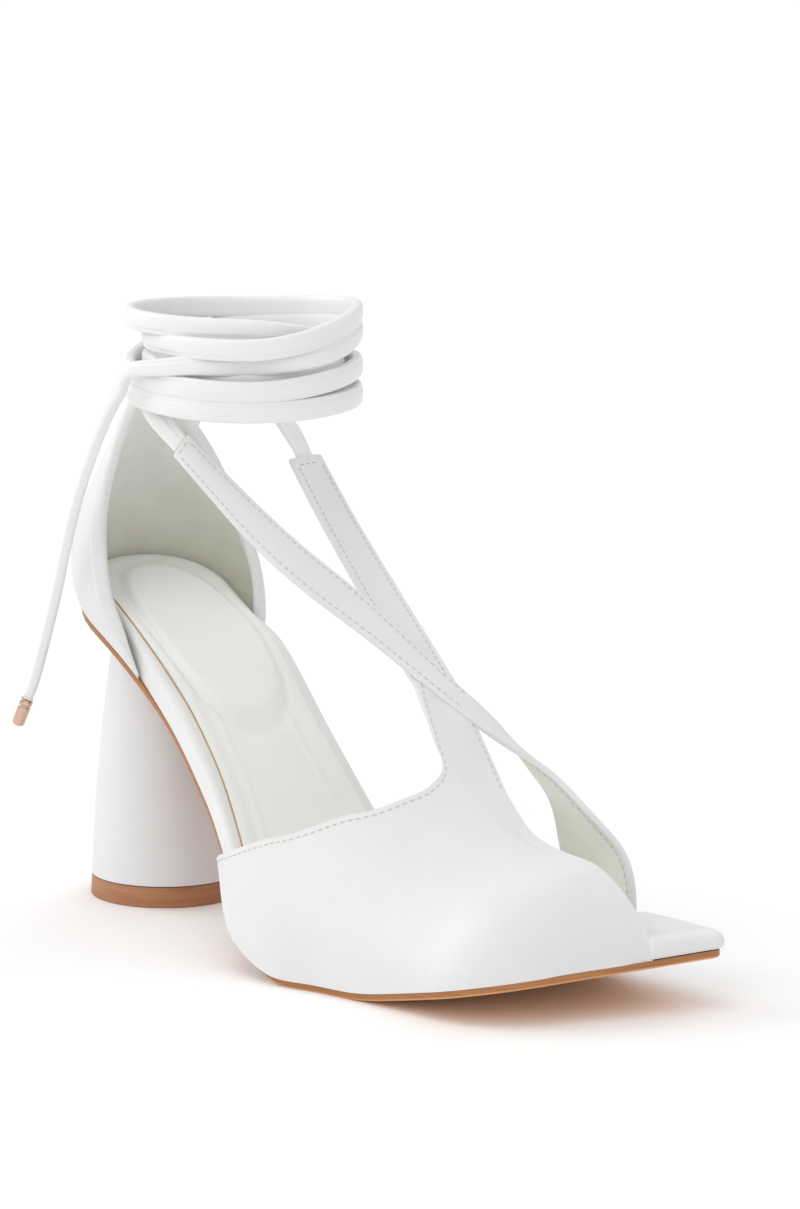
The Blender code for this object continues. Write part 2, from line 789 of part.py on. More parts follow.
def counter_grid(columns, rows):
    """The counter's outer face: columns run up from the sole's edge to the rim, lateral end first."""
    run = [placed(s, lateral_edge(s)) for s in np.linspace(COUNTER_LATERAL_END, 0.0, COUNTER_SAMPLES)]
    run += [heel_edge(t) for t in np.linspace(-1, 1, 2 * COUNTER_SAMPLES + 1)[1:-1]]
    run += [placed(s, medial_edge(s)) for s in np.linspace(0.0, COUNTER_MEDIAL_END, COUNTER_SAMPLES)]
    plan = along(run, columns + 1)
    bottom = [np.array([x, y, upper_floor(x)]) for x, y in plan]
    rim = along([bottom[0], *COUNTER_RIM, bottom[-1]], columns + 1)
    middle = np.array([COUNTER_MIDDLE, 0.0])
    grid = []
    for i in range(rows + 1):
        v = i / rows
        line = []
        for j in range(columns + 1):
            point = (1 - v) * bottom[j] + v * rim[j]
            out = plan[j] - middle
            out = out / np.linalg.norm(out)
            swell = COUNTER_BULGE * 4 * v * (1 - v) * math.sin(math.pi * j / columns) ** BULGE_FADE
            line.append(point + np.array([out[0], out[1], 0.0]) * swell)
        grid.append(line)
    return grid


def build_counter(parts, material):
    grid = counter_grid(COUNTER_COLUMNS, COUNTER_ROWS)
    face = [line[-2:0:-1] for line in grid]
    counter = add_object("heel_counter", patch("heel_counter", face), parts, material)
    thicken(counter, COUNTER_WALL)
    return counter


# Ties


def wrap(start, way, rows):
    """Points round the ankle at even steps of turn. Start is seen from above, from the shoe's right side."""
    points = []
    for turn in np.arange(rows[0][0], rows[-1][0] + 1.0, WRAP_STEP):
        angle = math.radians(RIGHT_SIDE - start - way * turn)
        radius = smooth(rows, turn, 1)
        x = ANKLE_X + ANKLE_LONG * radius * math.cos(angle)
        y = ANKLE_Y + ANKLE_WIDE * radius * math.sin(angle)
        points.append((x, y, smooth(rows, turn, 2)))
    return points


def tie_route(lead, start, way, rows, tail):
    """One tie's middle line in even steps, from its tab round the ankle and down its free end."""
    points = [*lead, *wrap(start, way, rows), *tail]
    fine = along(points, 10 * len(points))
    length = np.linalg.norm(np.diff(fine, axis=0), axis=1).sum()
    return along(points, round(length / TIE_STEP) + 1)


def build_tie(name, route, parts, material):
    curve = bpy.data.curves.new(name, "CURVE")
    curve.dimensions = "3D"
    curve.bevel_depth = TIE_DIAMETER / 2 * MM
    curve.bevel_resolution = TIE_BEVEL
    curve.use_fill_caps = True
    spline = curve.splines.new("POLY")
    spline.points.add(len(route) - 1)
    for spot, point in zip(spline.points, route):
        spot.co = (*(point * MM), 1.0)
    return add_object(name, curve, parts, material)


def build_aglet(name, route, parts, material):
    """A metal tip in line with the end of a tie."""
    profile = [
        (0.0, 0.0),
        (AGLET_RADIUS - TURNED_EDGE, 0.0),
        (AGLET_RADIUS, TURNED_EDGE),
        (AGLET_RADIUS, AGLET_LENGTH - AGLET_RADIUS / 2),
        (AGLET_RADIUS / 2, AGLET_LENGTH),
        (0.0, AGLET_LENGTH),
    ]
    aglet = turned(name, profile, AGLET_SIDES, parts, material)
    way = Vector(route[-1] - route[-2]).normalized()
    aglet.location = (Vector(route[-1]) + way * GAP) * MM
    aglet.rotation_mode = "QUATERNION"
    aglet.rotation_quaternion = way.to_track_quat("Z", "Y")
    return aglet


def main():
    clear_scene()
    scene = bpy.context.scene
    parts = bpy.data.collections.new("open_toe_pump")
    cutters = bpy.data.collections.new("cutters")
    scene.collection.children.link(parts)
    scene.collection.children.link(cutters)

    white = (0.86, 0.86, 0.85)
    tan = (0.47, 0.27, 0.15)
    build_outsole(parts, make_material("sole_edge", tan, 0.5))
    build_footbed(parts, make_material("footbed_cover", (0.83, 0.84, 0.82), 0.5))
    build_heel(parts, cutters, make_material("heel_cover", white, 0.4))
    build_top_piece(parts, make_material("top_piece", (0.33, 0.18, 0.10), 0.5))
    build_upper(parts, cutters, make_material("upper_leather", white, 0.42))
    build_counter(parts, make_material("counter_leather", white, 0.42))

    tie_leather = make_material("tie_leather", white, 0.4)
    aglet_metal = make_material("aglet_metal", (0.80, 0.55, 0.45), 0.2, 1.0)
    route_a = tie_route(TIE_A_LEAD, TIE_A_START, -1.0, TIE_A_WRAP, TIE_A_TAIL)
    route_b = tie_route(TIE_B_LEAD, TIE_B_START, 1.0, TIE_B_WRAP, TIE_B_TAIL)
    build_tie("tie_medial", route_a, parts, tie_leather)
    build_tie("tie_lateral", route_b, parts, tie_leather)
    build_aglet("aglet_medial", route_a, parts, aglet_metal)
    build_aglet("aglet_lateral", route_b, parts, aglet_metal)

    for cutter in cutters.objects:
        cutter.hide_render = True
        cutter.display_type = "WIRE"


main()
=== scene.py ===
"""Looks of the open-toe pump: fine meshes, leather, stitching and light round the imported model.

Sizes are in millimetres, as in the part's source, and MM turns them into metres. Most tables and
shape functions are the part's own, read here at a finer step. The sole's softened profile, the footbed's
edge, the vamp's toe and rear corner, the crossing strap, the ties and the aglets follow the photograph
more closely than the part does.
"""

import math
from itertools import product

import bmesh
import bpy
import numpy as np
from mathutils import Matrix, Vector


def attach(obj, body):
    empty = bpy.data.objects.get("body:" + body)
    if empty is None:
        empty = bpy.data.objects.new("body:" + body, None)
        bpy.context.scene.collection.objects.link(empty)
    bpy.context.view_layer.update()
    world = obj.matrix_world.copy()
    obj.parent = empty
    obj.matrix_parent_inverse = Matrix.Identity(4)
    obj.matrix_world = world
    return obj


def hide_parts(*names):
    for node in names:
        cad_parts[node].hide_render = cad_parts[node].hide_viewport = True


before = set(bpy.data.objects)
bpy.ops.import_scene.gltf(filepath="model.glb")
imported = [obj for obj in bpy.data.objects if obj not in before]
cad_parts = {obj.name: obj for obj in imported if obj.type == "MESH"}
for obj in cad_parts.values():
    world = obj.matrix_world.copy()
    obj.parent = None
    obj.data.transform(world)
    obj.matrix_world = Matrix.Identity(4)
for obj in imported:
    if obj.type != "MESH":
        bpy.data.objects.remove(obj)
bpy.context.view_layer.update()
BODY = "root"

MM = 0.001
TINY = 1e-9
MERGE_WITHIN = 0.001
CURVE_SAMPLES = 24
ROUND_POWER = 2.0

# Heel
HEEL_PROFILE = (
    # height, radius
    (6.8, 23.7),
    (27.0, 22.5),
    (54.0, 20.0),
    (74.0, 17.4),
    (100.0, 14.0),
)
LIFT_PROFILE = (
    # radius, height
    (23.2, 6.5),
    (23.5, 6.4),
    (23.6, 6.1),
    (24.0, 0.4),
    (23.8667, 0.1333),
    (23.6, 0.0),
)
HEEL_SIDES = 128
HEEL_STEPS = 28
HEEL_CUT_TRIES = 12
HEEL_SHARP = 40.0
TURNED_SHARP = 35.0

# Sole: its plan, in rows across the foot that turn with the slanted toe
OUTSOLE_THICKNESS = 2.3
TOE_STATION = 205.0
TOE_SLANT = 0.304
SLANT_START = 110.0
HEEL_BACK = -24.5
HEEL_ROUND = 0.9
HEEL_CROWDING = 0.92
SOLE_ROWS = 180
CORNER_ROWS = 18
OUTSOLE_COLUMNS = 20
FOOTBED_COLUMNS = 72
END_FADE = 6
SLAB_SHARP = 50.0
OUTSOLE_CHAMFER = 0.5
TREAD_FACING = -0.5
LATERAL_CORNER_RADIUS = 20.0
MEDIAL_CORNER_RADIUS = 5.0
ROUND_START = TOE_STATION - LATERAL_CORNER_RADIUS
SOLE_PLAN = (
    # station, lateral half-width, medial half-width
    (0.0, 25.5, 28.0),
    (30.0, 25.3, 24.8),
    (60.0, 28.6, 22.2),
    (80.0, 34.5, 22.8),
    (98.0, 43.6, 27.5),
    (115.0, 44.6, 35.0),
    (136.0, 40.0, 41.0),
    (160.0, 36.6, 43.2),
    (182.0, 34.4, 42.2),
    (205.0, 32.6, 41.6),
)

# Sole: its profile, from the high heel seat down to the flat tread and up the toe spring
SOLE_PROFILE = (
    # x, underside height
    (-26.0, 95.0),
    (1.0, 83.2),
    (31.0, 65.0),
    (56.0, 44.5),
    (81.0, 21.2),
    (101.0, 5.4),
    (116.0, 0.0),
)
TREAD_START = 116.0
TREAD_END = 142.0
TOE_TIP = 216.0
TOE_SPRING = 15.0
SPRING_EASE = 0.10
PROFILE_STEPS = np.arange(-45.0, 240.0, 0.5)
PROFILE_BLEND = 18

# Footbed: thickness over the outsole's underside, and the rise of its arch side
FOOTBED_TOP = (
    # x, height over the outsole's underside
    (-26.0, 12.3),
    (60.0, 12.3),
    (110.0, 12.0),
    (140.0, 13.5),
    (160.0, 14.6),
    (179.0, 14.3),
    (190.0, 12.6),
    (201.0, 10.7),
    (216.0, 8.6),
)
ARCH_RISE = (
    # x, rise of the medial edge
    (-26.0, 0.0),
    (0.0, 0.7),
    (32.0, 3.4),
    (60.0, 2.6),
    (92.0, 0.8),
    (116.0, 0.0),
)
ARCH_SPAN = (-8.0, 24.0)
FOOTBED_ROUND = 2.6
SHOULDER_STEPS = 8
UPPER_SEAT = 3.0
TOE_SEAT = 5.6
SEAT_EASE = 14.0
COUNTER_SEAT = (0.0, 36.0)
VAMP_SEAT = (88.0, 120.0)
PLATFORM_OVERHANG = 1.4
PLATFORM_TUCK = 3.9
PILLOW_WIDTH = 13.0
PILLOW_DROP = 1.1
PILLOW_ROUND = (5.0, 3.3)
PILLOW_SPAN = (196.0, 217.0)
UNDERCUT_STEPS = 5

# Upper: one wall over the forefoot whose straps cross on the instep
WALL = 1.7
GAP = 0.3
VAMP_START = 74.5
VAMP_LIFT = 0.5
VAMP_RIDGE = (
    # station, ridge side offset, ridge height before the toe rounds off
    (110.0, 17.0, 93.5),
    (121.0, 16.6, 86.5),
    (132.0, 15.9, 75.5),
    (143.0, 14.6, 63.0),
    (154.0, 12.6, 53.0),
    (163.0, 12.4, 46.2),
    (171.0, 13.0, 43.6),
    (182.0, 15.0, 41.6),
    (191.0, 16.2, 40.6),
    (205.0, 19.0, 39.5),
)
TOE_ROUND_LENGTH = 21.0
TOE_ROUND_POWER = 1.7
SECTION_POWER = (
    # station, fullness of the cross-section, 2 being an ellipse
    (79.0, 2.0),
    (120.0, 2.1),
    (150.0, 2.5),
    (186.0, 2.05),
    (205.0, 3.0),
)
VAMP_BULGE = 7.8
BULGE_POWER = 4
BULGE_END = 150.0
VAMP_OVERHANG = (
    # station, how far the upper stands out over the sole's edge
    (74.5, 2.6),
    (84.0, 4.1),
    (97.0, 2.6),
    (105.0, 2.2),
    (140.0, 0.8),
    (205.0, 0.4),
)
VAMP_TOPLINE = (
    # station, share of the way from the inner edge (0) to the sole's edge (1)
    (74.5, 1.0),
    (86.0, 0.885),
    (100.0, 0.78),
    (120.0, 0.68),
    (131.0, 0.585),
    (139.5, 0.46),
    (143.5, 0.31),
    (143.8, 0.22),
    (141.0, 0.15),
    (134.0, 0.14),
    (121.0, 0.125),
)
SHARE_LENGTH = 60.0
TOPLINE_AT_TOE = (0.60, 0.80)
STRAP_START = 121.0
VAMP_SIDE_ROWS = 44
VAMP_TOE_ROWS = 28
VAMP_EDGE_ROWS = 48
VAMP_COLUMNS = 40
TOPLINE_SAMPLES = 201
RIM_CROWDING = 1.5
VAMP_STEPS = 1.0 - (1.0 - np.linspace(0, 1, VAMP_COLUMNS + 1)) ** RIM_CROWDING
CORNER_END = VAMP_SIDE_ROWS + CORNER_ROWS
TOE_END = CORNER_END + VAMP_TOE_ROWS
EDGE_END = TOE_END + VAMP_EDGE_ROWS
STRAP_A_ROWS = 60
STRAP_B_ROWS = 130
STRAP_B_COLUMNS = 16
STRAP_CROWN = 0.6
STRAP_A_CROWN = 0.5
CROWN_ROWS = 12
STRAP_A = (
    # outer edge x, y, z, then inner edge x, y, z, from the instep to the tab
    ((89.0, 9.5, 105.6), (87.0, 23.0, 108.0)),
    ((60.6, 15.0, 125.2), (60.7, 28.0, 124.6)),
    ((40.7, 18.5, 140.7), (40.5, 30.5, 141.1)),
)
STRAP_B = (
    # front edge x, y, z, then rear edge x, y, z, from the sole's medial edge to the tab
    ((176.6, 42.5, 26.0), (145.0, 42.5, 20.0)),
    ((172.6, 41.6, 38.0), (146.6, 38.6, 38.0)),
    ((164.9, 35.5, 49.2), (147.6, 34.2, 50.4)),
    ((153.2, 28.8, 61.0), (142.1, 30.8, 59.7)),
    ((140.4, 18.3, 70.5), (133.4, 24.8, 72.9)),
    ((128.4, 8.9, 80.4), (122.3, 14.3, 87.0)),
    ((109.0, -4.3, 97.2), (101.0, 0.9, 108.2)),
    ((92.5, -17.8, 112.6), (84.8, -10.4, 123.0)),
    ((75.4, -25.1, 126.1), (69.2, -18.0, 136.3)),
    ((48.5, -31.4, 147.1), (50.2, -27.0, 153.9)),
)
STRAP_B_FOOT = (167.6, 132.5)

# Counter: the closed back, from the sole's edge up to a rim that peaks behind the ankle
COUNTER_WALL = 2.0
COUNTER_LATERAL_END = 22.0
COUNTER_MEDIAL_END = 14.0
COUNTER_BULGE = 7.2
COUNTER_MIDDLE = 4.0
BULGE_FADE = 0.8
COUNTER_SAMPLES = 12
COUNTER_COLUMNS = 120
COUNTER_ROWS = 36
COUNTER_RIM = (
    # x, y, z from the lateral end of the rim over its peak to the medial end
    (15.5, -27.2, 88.0),
    (8.0, -27.6, 101.0),
    (3.0, -26.2, 120.0),
    (1.2, -22.6, 135.0),
    (-1.0, -15.5, 149.0),
    (-5.0, -8.0, 156.6),
    (-8.0, 0.0, 159.0),
    (-8.0, 8.0, 156.0),
    (-6.0, 14.4, 149.0),
    (0.0, 21.4, 134.0),
    (9.5, 26.4, 111.0),
    (12.6, 28.2, 96.0),
)

# Ties: rolled leather cords that leave the strap tabs, wrap the ankle and end in metal aglets
TIE_STEP = 2.5
ROUTE_SAMPLES = 10
ANKLE_X = 42.0
ANKLE_Y = 0.0
ANKLE_LONG = 1.06
ANKLE_WIDE = 0.95
RIGHT_SIDE = 51.7
WRAP_STEP = 15.0
WRAP_LEVEL = 172.0
WRAP_SQUEEZE = 0.93
INNER = 29.4
OUTER = 34.8
TIE_A_START = 318.0
TIE_A_LEAD = ((41.1, 24.4, 139.9), (35.2, 25.0, 145.6), (29.0, 24.8, 150.8), (24.2, 22.6, 154.6))
TIE_A_WRAP = (
    # turn so far in degrees, radius, height
    (48.0, INNER, 158.5),
    (138.0, INNER, 164.0),
    (228.0, INNER, 163.0),
    (318.0, INNER, 162.6),
    (408.0, INNER, 167.0),
    (498.0, INNER, 173.0),
    (588.0, INNER, 169.6),
    (678.0, INNER, 171.0),
    (768.0, INNER, 175.5),
    (858.0, INNER, 181.0),
    (948.0, OUTER, 180.9),
    (1038.0, OUTER, 189.3),
    (1128.0, OUTER, 186.0),
    (1218.0, OUTER, 187.3),
    (1308.0, INNER, 186.6),
    (1398.0, INNER, 178.4),
    (1443.0, OUTER, 176.6),
    (1488.0, 40.4, 174.6),
)
TIE_A_TAIL = (
    # x, y, z down to the free end
    (-4.0, 28.6, 168.5),
    (-13.0, 28.4, 159.0),
    (-20.0, 27.0, 146.0),
    (-25.0, 25.6, 131.0),
    (-27.6, 24.6, 115.0),
    (-28.6, 24.2, 102.0),
)
TIE_B_START = 132.0
TIE_B_LEAD = ((50.5, -28.1, 149.1), (45.5, -28.9, 152.6), (40.3, -29.3, 156.1), (33.4, -28.2, 159.6))
TIE_B_WRAP = (
    # turn so far in degrees, radius, height
    (48.0, 30.0, 160.2),
    (75.0, 33.0, 160.6),
    (95.0, OUTER, 160.8),
    (138.0, OUTER, 161.8),
    (228.0, OUTER, 162.8),
    (318.0, OUTER, 161.0),
    (408.0, OUTER, 163.6),
    (498.0, OUTER, 169.6),
    (588.0, OUTER, 172.0),
    (678.0, OUTER, 167.4),
    (768.0, OUTER, 170.5),
    (858.0, OUTER, 180.0),
    (948.0, OUTER, 184.0),
    (983.0, OUTER, 180.0),
    (1008.0, 33.0, 177.2),
    (1038.0, INNER, 175.3),
    (1068.0, 33.6, 175.2),
    (1098.0, 40.4, 172.0),
)
TIE_B_TAIL = (
    # x, y, z down to the free end
    (31.8, -38.4, 165.9),
    (25.5, -38.7, 157.9),
    (18.1, -39.0, 146.1),
    (10.3, -39.5, 130.5),
    (4.5, -40.0, 115.0),
    (-0.5, -40.5, 99.4),
    (-6.4, -41.0, 83.6),
    (-11.0, -41.6, 71.7),
    (-13.8, -42.6, 65.0),
)
AGLET_LENGTH = 9.3
AGLET_RADIUS = 2.0
AGLET_SIDES = 48
AGLET_SLEEVE = (
    # how far in from the radius, distance from the tie
    (0.35, 0.0),
    (0.1, 0.12),
    (0.0, 0.4),
    (0.0, 1.7),
    (0.28, 2.05),
    (0.28, 2.35),
    (0.0, 2.7),
)
AGLET_TIP_STEPS = 6
AGLET_FLAT = 0.55
AGLET_DOME = 0.6

# Camera, as fitted to the photograph
CAMERA_AZIMUTH = 51.71
CAMERA_ELEVATION = 10.17
CAMERA_DISTANCE = 1496.0
CAMERA_TARGET = (99.3, 15.2, 103.98)
CAMERA_LENS = 149.23
CAMERA_SENSOR = 36.0

# Insole: a sock with a tan cut edge, mouldings beside it and a padded heel
SOCK_INSET = 4.5
SOCK_STEP = (4.1, 4.8)
SOCK_RISE = 0.3
SOCK_FADE = (150.0, 172.0)
BEAD_INSET = 6.6
BEAD_WIDTH = 1.2
BEAD_RISE = 0.5
CHANNEL_INSET = 10.4
CHANNEL_WIDTH = 1.6
CHANNEL_DROP = 0.75
DISH_SPAN = (12.4, 14.6)
DISH_DROP = 0.8
PAD_MIDDLE = (18.5, 0.6)
PAD_HALF = (32.0, 16.6)
PAD_POWER = 2.6
PAD_RISE = 2.0
PAD_EDGE = 0.09
PAD_GROOVE = 0.9
PAD_GROOVE_AT = 0.045
PAD_GROOVE_FADE = (4.0, 40.0)
PAD_GROOVE_LEAST = 0.3
MOULD_START = (-14.0, 18.0)
INSOLE_FACING = 0.3
PIPING_LINE = (
    # x, y in plan
    (-11.0, -14.0),
    (-4.4, -18.9),
    (10.5, -20.5),
    (33.9, -21.6),
    (46.1, -22.1),
    (63.9, -24.9),
    (80.7, -30.3),
    (94.0, -36.5),
)
PIPING_STEPS = 160
PIPING_LIFT = 0.12
PIPING_WIDTH = 0.56
PIPING_SIDES = 8

# Leather edges and stitching; RAW_EDGE and RIM_FOLD are width, thickness
EDGE_ROUND = 0.55
EDGE_SEGMENTS = 3
EDGE_ANGLE = 55.0
STITCH_INSET = 1.7
STITCH_PITCH = 2.4
STITCH_LENGTH = 1.6
STITCH_RADIUS = 0.2
STITCH_SIDES = 6
STITCH_RINGS = 5
STITCH_TIP = 0.6
STITCH_END = 0.35
STITCH_SUNK = 0.55
END_SAMPLES = 24
SEAM_START = 2
EDGE_SEAM_ROWS = 12
TAB_SEAM_ROWS = (2, 1)
STRAP_B_SEAM = 58
HEM_START = 3
HEM_WIDTH = 2.4
HEM_THICKNESS = 0.7
HEM_INSET = 0.15
HEM_SEAM = 0.6
RAW_EDGE_OUT = 0.05
RAW_EDGE = (0.5, 0.8)
RAW_EDGE_SIDES = 8
COUNTER_TAPER = (-3.0, 9.0)
RIM_FOLD_ROWS = 3
RIM_FOLD = (5.0, 3.8)
RIM_FOLD_END = 0.7
RIM_FOLD_TAPER = (5, 14)
RIM_FOLD_SIT = 0.36

# Vamp: how far its skin is smoothed and its rim tucked in
VAMP_SMOOTHING = 36
SMOOTHING_FADE = (0.4, 0.8)
RIM_TUCK = 0.35
RIM_REACH = 11.0

# Soft creases of the vamp: depth, half-width, then the points that the crease runs through
VAMP_CREASES = (
    (0.50, 1.1, ((210.0, 16.6, 16.2), (209.8, 16.8, 19.0), (209.0, 16.9, 22.0))),
    (0.35, 1.1, ((209.2, 13.6, 16.0), (208.9, 14.2, 18.2), (208.3, 14.6, 20.2))),
    (0.30, 4.0, ((128.0, -14.0, 60.0), (139.0, -4.0, 60.0), (148.0, 6.0, 59.0))),
    (0.60, 3.2, ((127.5, 6.6, 80.2), (130.7, 7.6, 76.9), (133.9, 10.0, 74.0), (138.0, 13.0, 70.0))),
)
CREASE_SPOTS = 24

# Ties: flat rolled leather, its section from the tab on and back from the free end
TIE_START = (
    # distance from the tab, width, thickness
    (0.0, 5.8, 1.6),
    (4.0, 5.8, 2.4),
    (12.0, 6.6, 3.5),
)
TIE_END = (
    # distance from the free end, width, thickness
    (0.0, 3.2, 3.1),
    (60.0, 3.5, 3.3),
    (110.0, 4.2, 3.4),
    (150.0, 6.6, 3.5),
)
TIE_TURN = (6.0, 45.0)
TAB_FACE_A = (0.61, -0.02, 0.79)
TAB_FACE_B = (0.45, -0.84, 0.30)
TIE_SIDES = 40
TIE_POWER = 2.9
# Place and width of the seam round the section in degrees, then its depth as a share
TIE_SEAM = (58.0, 11.0, 0.17)

# Textures: each noise is scale, detail, roughness; depths are in millimetres
MOTTLE = (38.0, 3.0, 0.55)
LINING_MOTTLE = (60.0, 3.0, 0.55)
MOTTLE_SPAN = (0.35, 0.68)
PORE_SCALE = 1500.0
HIDE = (420.0, 4.0, 0.6)
PULL = (1.0, 2.0, 0.5)
EVEN_PULL = (70.0, 70.0, 70.0)
TIE_PULL = (60.0, 60.0, 650.0)
# Shares of pores, hide and pull in the leather's bump
LEATHER_SHARES = (0.35, 0.5, 1.2)
LEATHER_DEPTH = 0.25
COAT_WEIGHT = 0.06
COAT_ROUGHNESS = 0.35
NAP = (1600.0, 4.0, 0.7)
NAP_SHARE = 0.5
FOLD = (1.0, 3.0, 0.55)
FOLD_STRETCH = (90.0, 90.0, 420.0)
LINING_ROUGHNESS = 0.85
LINING_SHEEN = 0.25
LINING_BUMP = 0.5
LINING_DEPTH = 0.5
# Painted shade on the counter's lining low in the heel cup, multiplied in with a yellowish tone: the darker
# colour, the height up to which it is full, and where it ends
COUNTER_SHADE_TINT = ((0.80, 0.80, 0.71), 107.0, 140.0)
STREAK = (1.0, 5.0, 0.6)
STREAK_ACROSS = 40.0
STREAK_SPAN = (0.3, 0.72)
STREAK_BUMP = 0.3
STREAK_DEPTH = 0.3
TWIST = (2600.0, 2.0, 0.5)
HAIRLINES = (900.0, 900.0, 3000.0)

# Stage: floor and light
FLOOR_COLOUR = (0.95, 0.95, 0.95)
FLOOR_ROUGHNESS = 0.9
FLOOR_HALF = 60000.0
WORLD_LIGHT = 0.69
SUN_SPREAD = 40.0
SUNS = (
    # name, azimuth and elevation it comes from, power
    ("key", -60.0, 30.0, 0.82),
    ("front", 20.0, 30.0, 0.50),
    ("back", 200.0, 40.0, 0.28),
    ("top", 0.0, 80.0, 0.50),
)


# Shape functions, most of them as in the part's source


def smooth(table, at, column=1):
    """A smooth curve through one column of a table, read at a place along its first column."""
    xs = [row[0] for row in table]
    ys = [row[column] for row in table]
    if at <= xs[0]:
        return ys[0]
    if at >= xs[-1]:
        return ys[-1]
    i = max(k for k in range(len(xs) - 1) if xs[k] <= at)
    steps = [(ys[k + 1] - ys[k]) / (xs[k + 1] - xs[k]) for k in range(len(xs) - 1)]

    def slope(k):
        before, after = steps[max(k - 1, 0)], steps[min(k, len(steps) - 1)]
        return 0.0 if before * after <= 0 else 2 * before * after / (before + after)

    width = xs[i + 1] - xs[i]
    t = (at - xs[i]) / width
    return (
        ys[i] * (1 + 2 * t) * (1 - t) ** 2
        + ys[i + 1] * t * t * (3 - 2 * t)
        + width * t * (1 - t) * (slope(i) * (1 - t) - slope(i + 1) * t)
    )


def ease(start, end, at):
    t = min(max((at - start) / (end - start), 0.0), 1.0)
    return t * t * (3 - 2 * t)


def gauss(value):
    return np.exp(-value * value)


def unit(vectors):
    return vectors / np.maximum(np.linalg.norm(vectors, axis=-1, keepdims=True), TINY)


def lengths(points):
    """Distance along a line of points, at each of them."""
    return np.concatenate([[0.0], np.cumsum(np.linalg.norm(np.diff(points, axis=0), axis=1))])


def read(at, reach, values):
    """Values that are known along a reach, read at one place or more on it."""
    return np.stack([np.interp(at, reach, column) for column in np.transpose(values)], axis=-1)


def along(points, count):
    """count points at even steps of length along a smooth curve through the given points."""
    points = np.array(points, float)
    ends = np.vstack([2 * points[0] - points[1], points, 2 * points[-1] - points[-2]])
    t = np.linspace(0, 1, CURVE_SAMPLES, endpoint=False)[:, None]
    fine = []
    for p0, p1, p2, p3 in zip(ends, ends[1:], ends[2:], ends[3:]):
        bend = 2 * p0 - 5 * p1 + 4 * p2 - p3
        twist = 3 * p1 - p0 - 3 * p2 + p3
        fine.append(p1 + ((p2 - p0) * t + bend * t**2 + twist * t**3) / 2)
    fine = np.vstack([*fine, points[-1]])
    reach = lengths(fine)
    return read(np.linspace(0, reach[-1], count), reach, fine)


def placed(station, y):
    """Plan position of a point y to the side on a station's row."""
    slant = TOE_SLANT * max(station - SLANT_START, 0.0) / (TOE_STATION - SLANT_START)
    return np.array([station + slant * y, y])


def corner_loss(station, radius):
    """How much a rounded toe corner narrows the row at a station."""
    into = max(station - (TOE_STATION - radius), 0.0)
    return radius - math.sqrt(max(radius * radius - into * into, 0.0))


def lateral_edge(station):
    return -(smooth(SOLE_PLAN, station, 1) - corner_loss(station, LATERAL_CORNER_RADIUS))


def medial_edge(station):
    return smooth(SOLE_PLAN, station, 2) - corner_loss(station, MEDIAL_CORNER_RADIUS)


def sole_profile(x):
    """Height of the outsole's underside: seat and arch, flat tread, then toe spring."""
    if x <= TREAD_START:
        return smooth(SOLE_PROFILE, x)
    if x <= TREAD_END:
        return 0.0
    t = (x - TREAD_END) / (TOE_TIP - TREAD_END)
    full = math.hypot(1.0, SPRING_EASE) - SPRING_EASE
    return TOE_SPRING * (math.hypot(t, SPRING_EASE) - SPRING_EASE) / full


def soft_profile():
    """The underside's heights in fine steps, with its turns softened."""
    raw = np.array([sole_profile(x) for x in PROFILE_STEPS])
    weights = PROFILE_BLEND + 1.0 - np.abs(np.arange(-PROFILE_BLEND, PROFILE_BLEND + 1))
    padded = np.pad(raw, PROFILE_BLEND, mode="edge")
    return np.convolve(padded, weights / weights.sum(), mode="valid")


SOFT_PROFILE = soft_profile()


def underside(x):
    return float(np.interp(x, PROFILE_STEPS, SOFT_PROFILE))


def upper_floor(x):
    """Height at which the upper's lower edge meets the outsole."""
    return underside(x) + OUTSOLE_THICKNESS + GAP


def heel_edge(turn):
    """Point on the heel seat's edge: -1 on the lateral side, 0 at the back, 1 on the medial side."""
    angle = turn * math.pi / 2
    across = smooth(SOLE_PLAN, 0.0, 2 if turn > 0 else 1)
    y = across * math.copysign(abs(math.sin(angle)) ** HEEL_ROUND, turn)
    return np.array([HEEL_BACK * math.cos(angle) ** HEEL_ROUND, y])


def corner_stations():
    """Stations of the rows round the toe's lateral corner."""
    turns = np.linspace(0, math.pi / 2, CORNER_ROWS + 1)[1:]
    return [ROUND_START + LATERAL_CORNER_RADIUS * math.sin(turn) for turn in turns]


def row_stations():
    """Stations of the rows across the sole, close together round the heel and the toe corner."""
    straight = np.linspace(0, 1, SOLE_ROWS - CORNER_ROWS + 1)
    return [*(ROUND_START * straight**HEEL_CROWDING), *corner_stations()]


def edge_loop(rows, columns):
    """Grid spots round the border of rows by columns of faces: lateral side, toe, medial side, heel."""
    loop = [(i, 0) for i in range(rows + 1)]
    loop += [(rows, j) for j in range(1, columns + 1)]
    loop += [(i, columns) for i in range(rows - 1, -1, -1)]
    loop += [(0, j) for j in range(columns - 1, 0, -1)]
    return loop


def inward(points):
    """Unit inward directions along a closed plan loop that runs from lateral to medial by the toe."""
    tangent = np.roll(points, -1, axis=0) - np.roll(points, 1, axis=0)
    return unit(np.stack([-tangent[:, 1], tangent[:, 0]], axis=1))


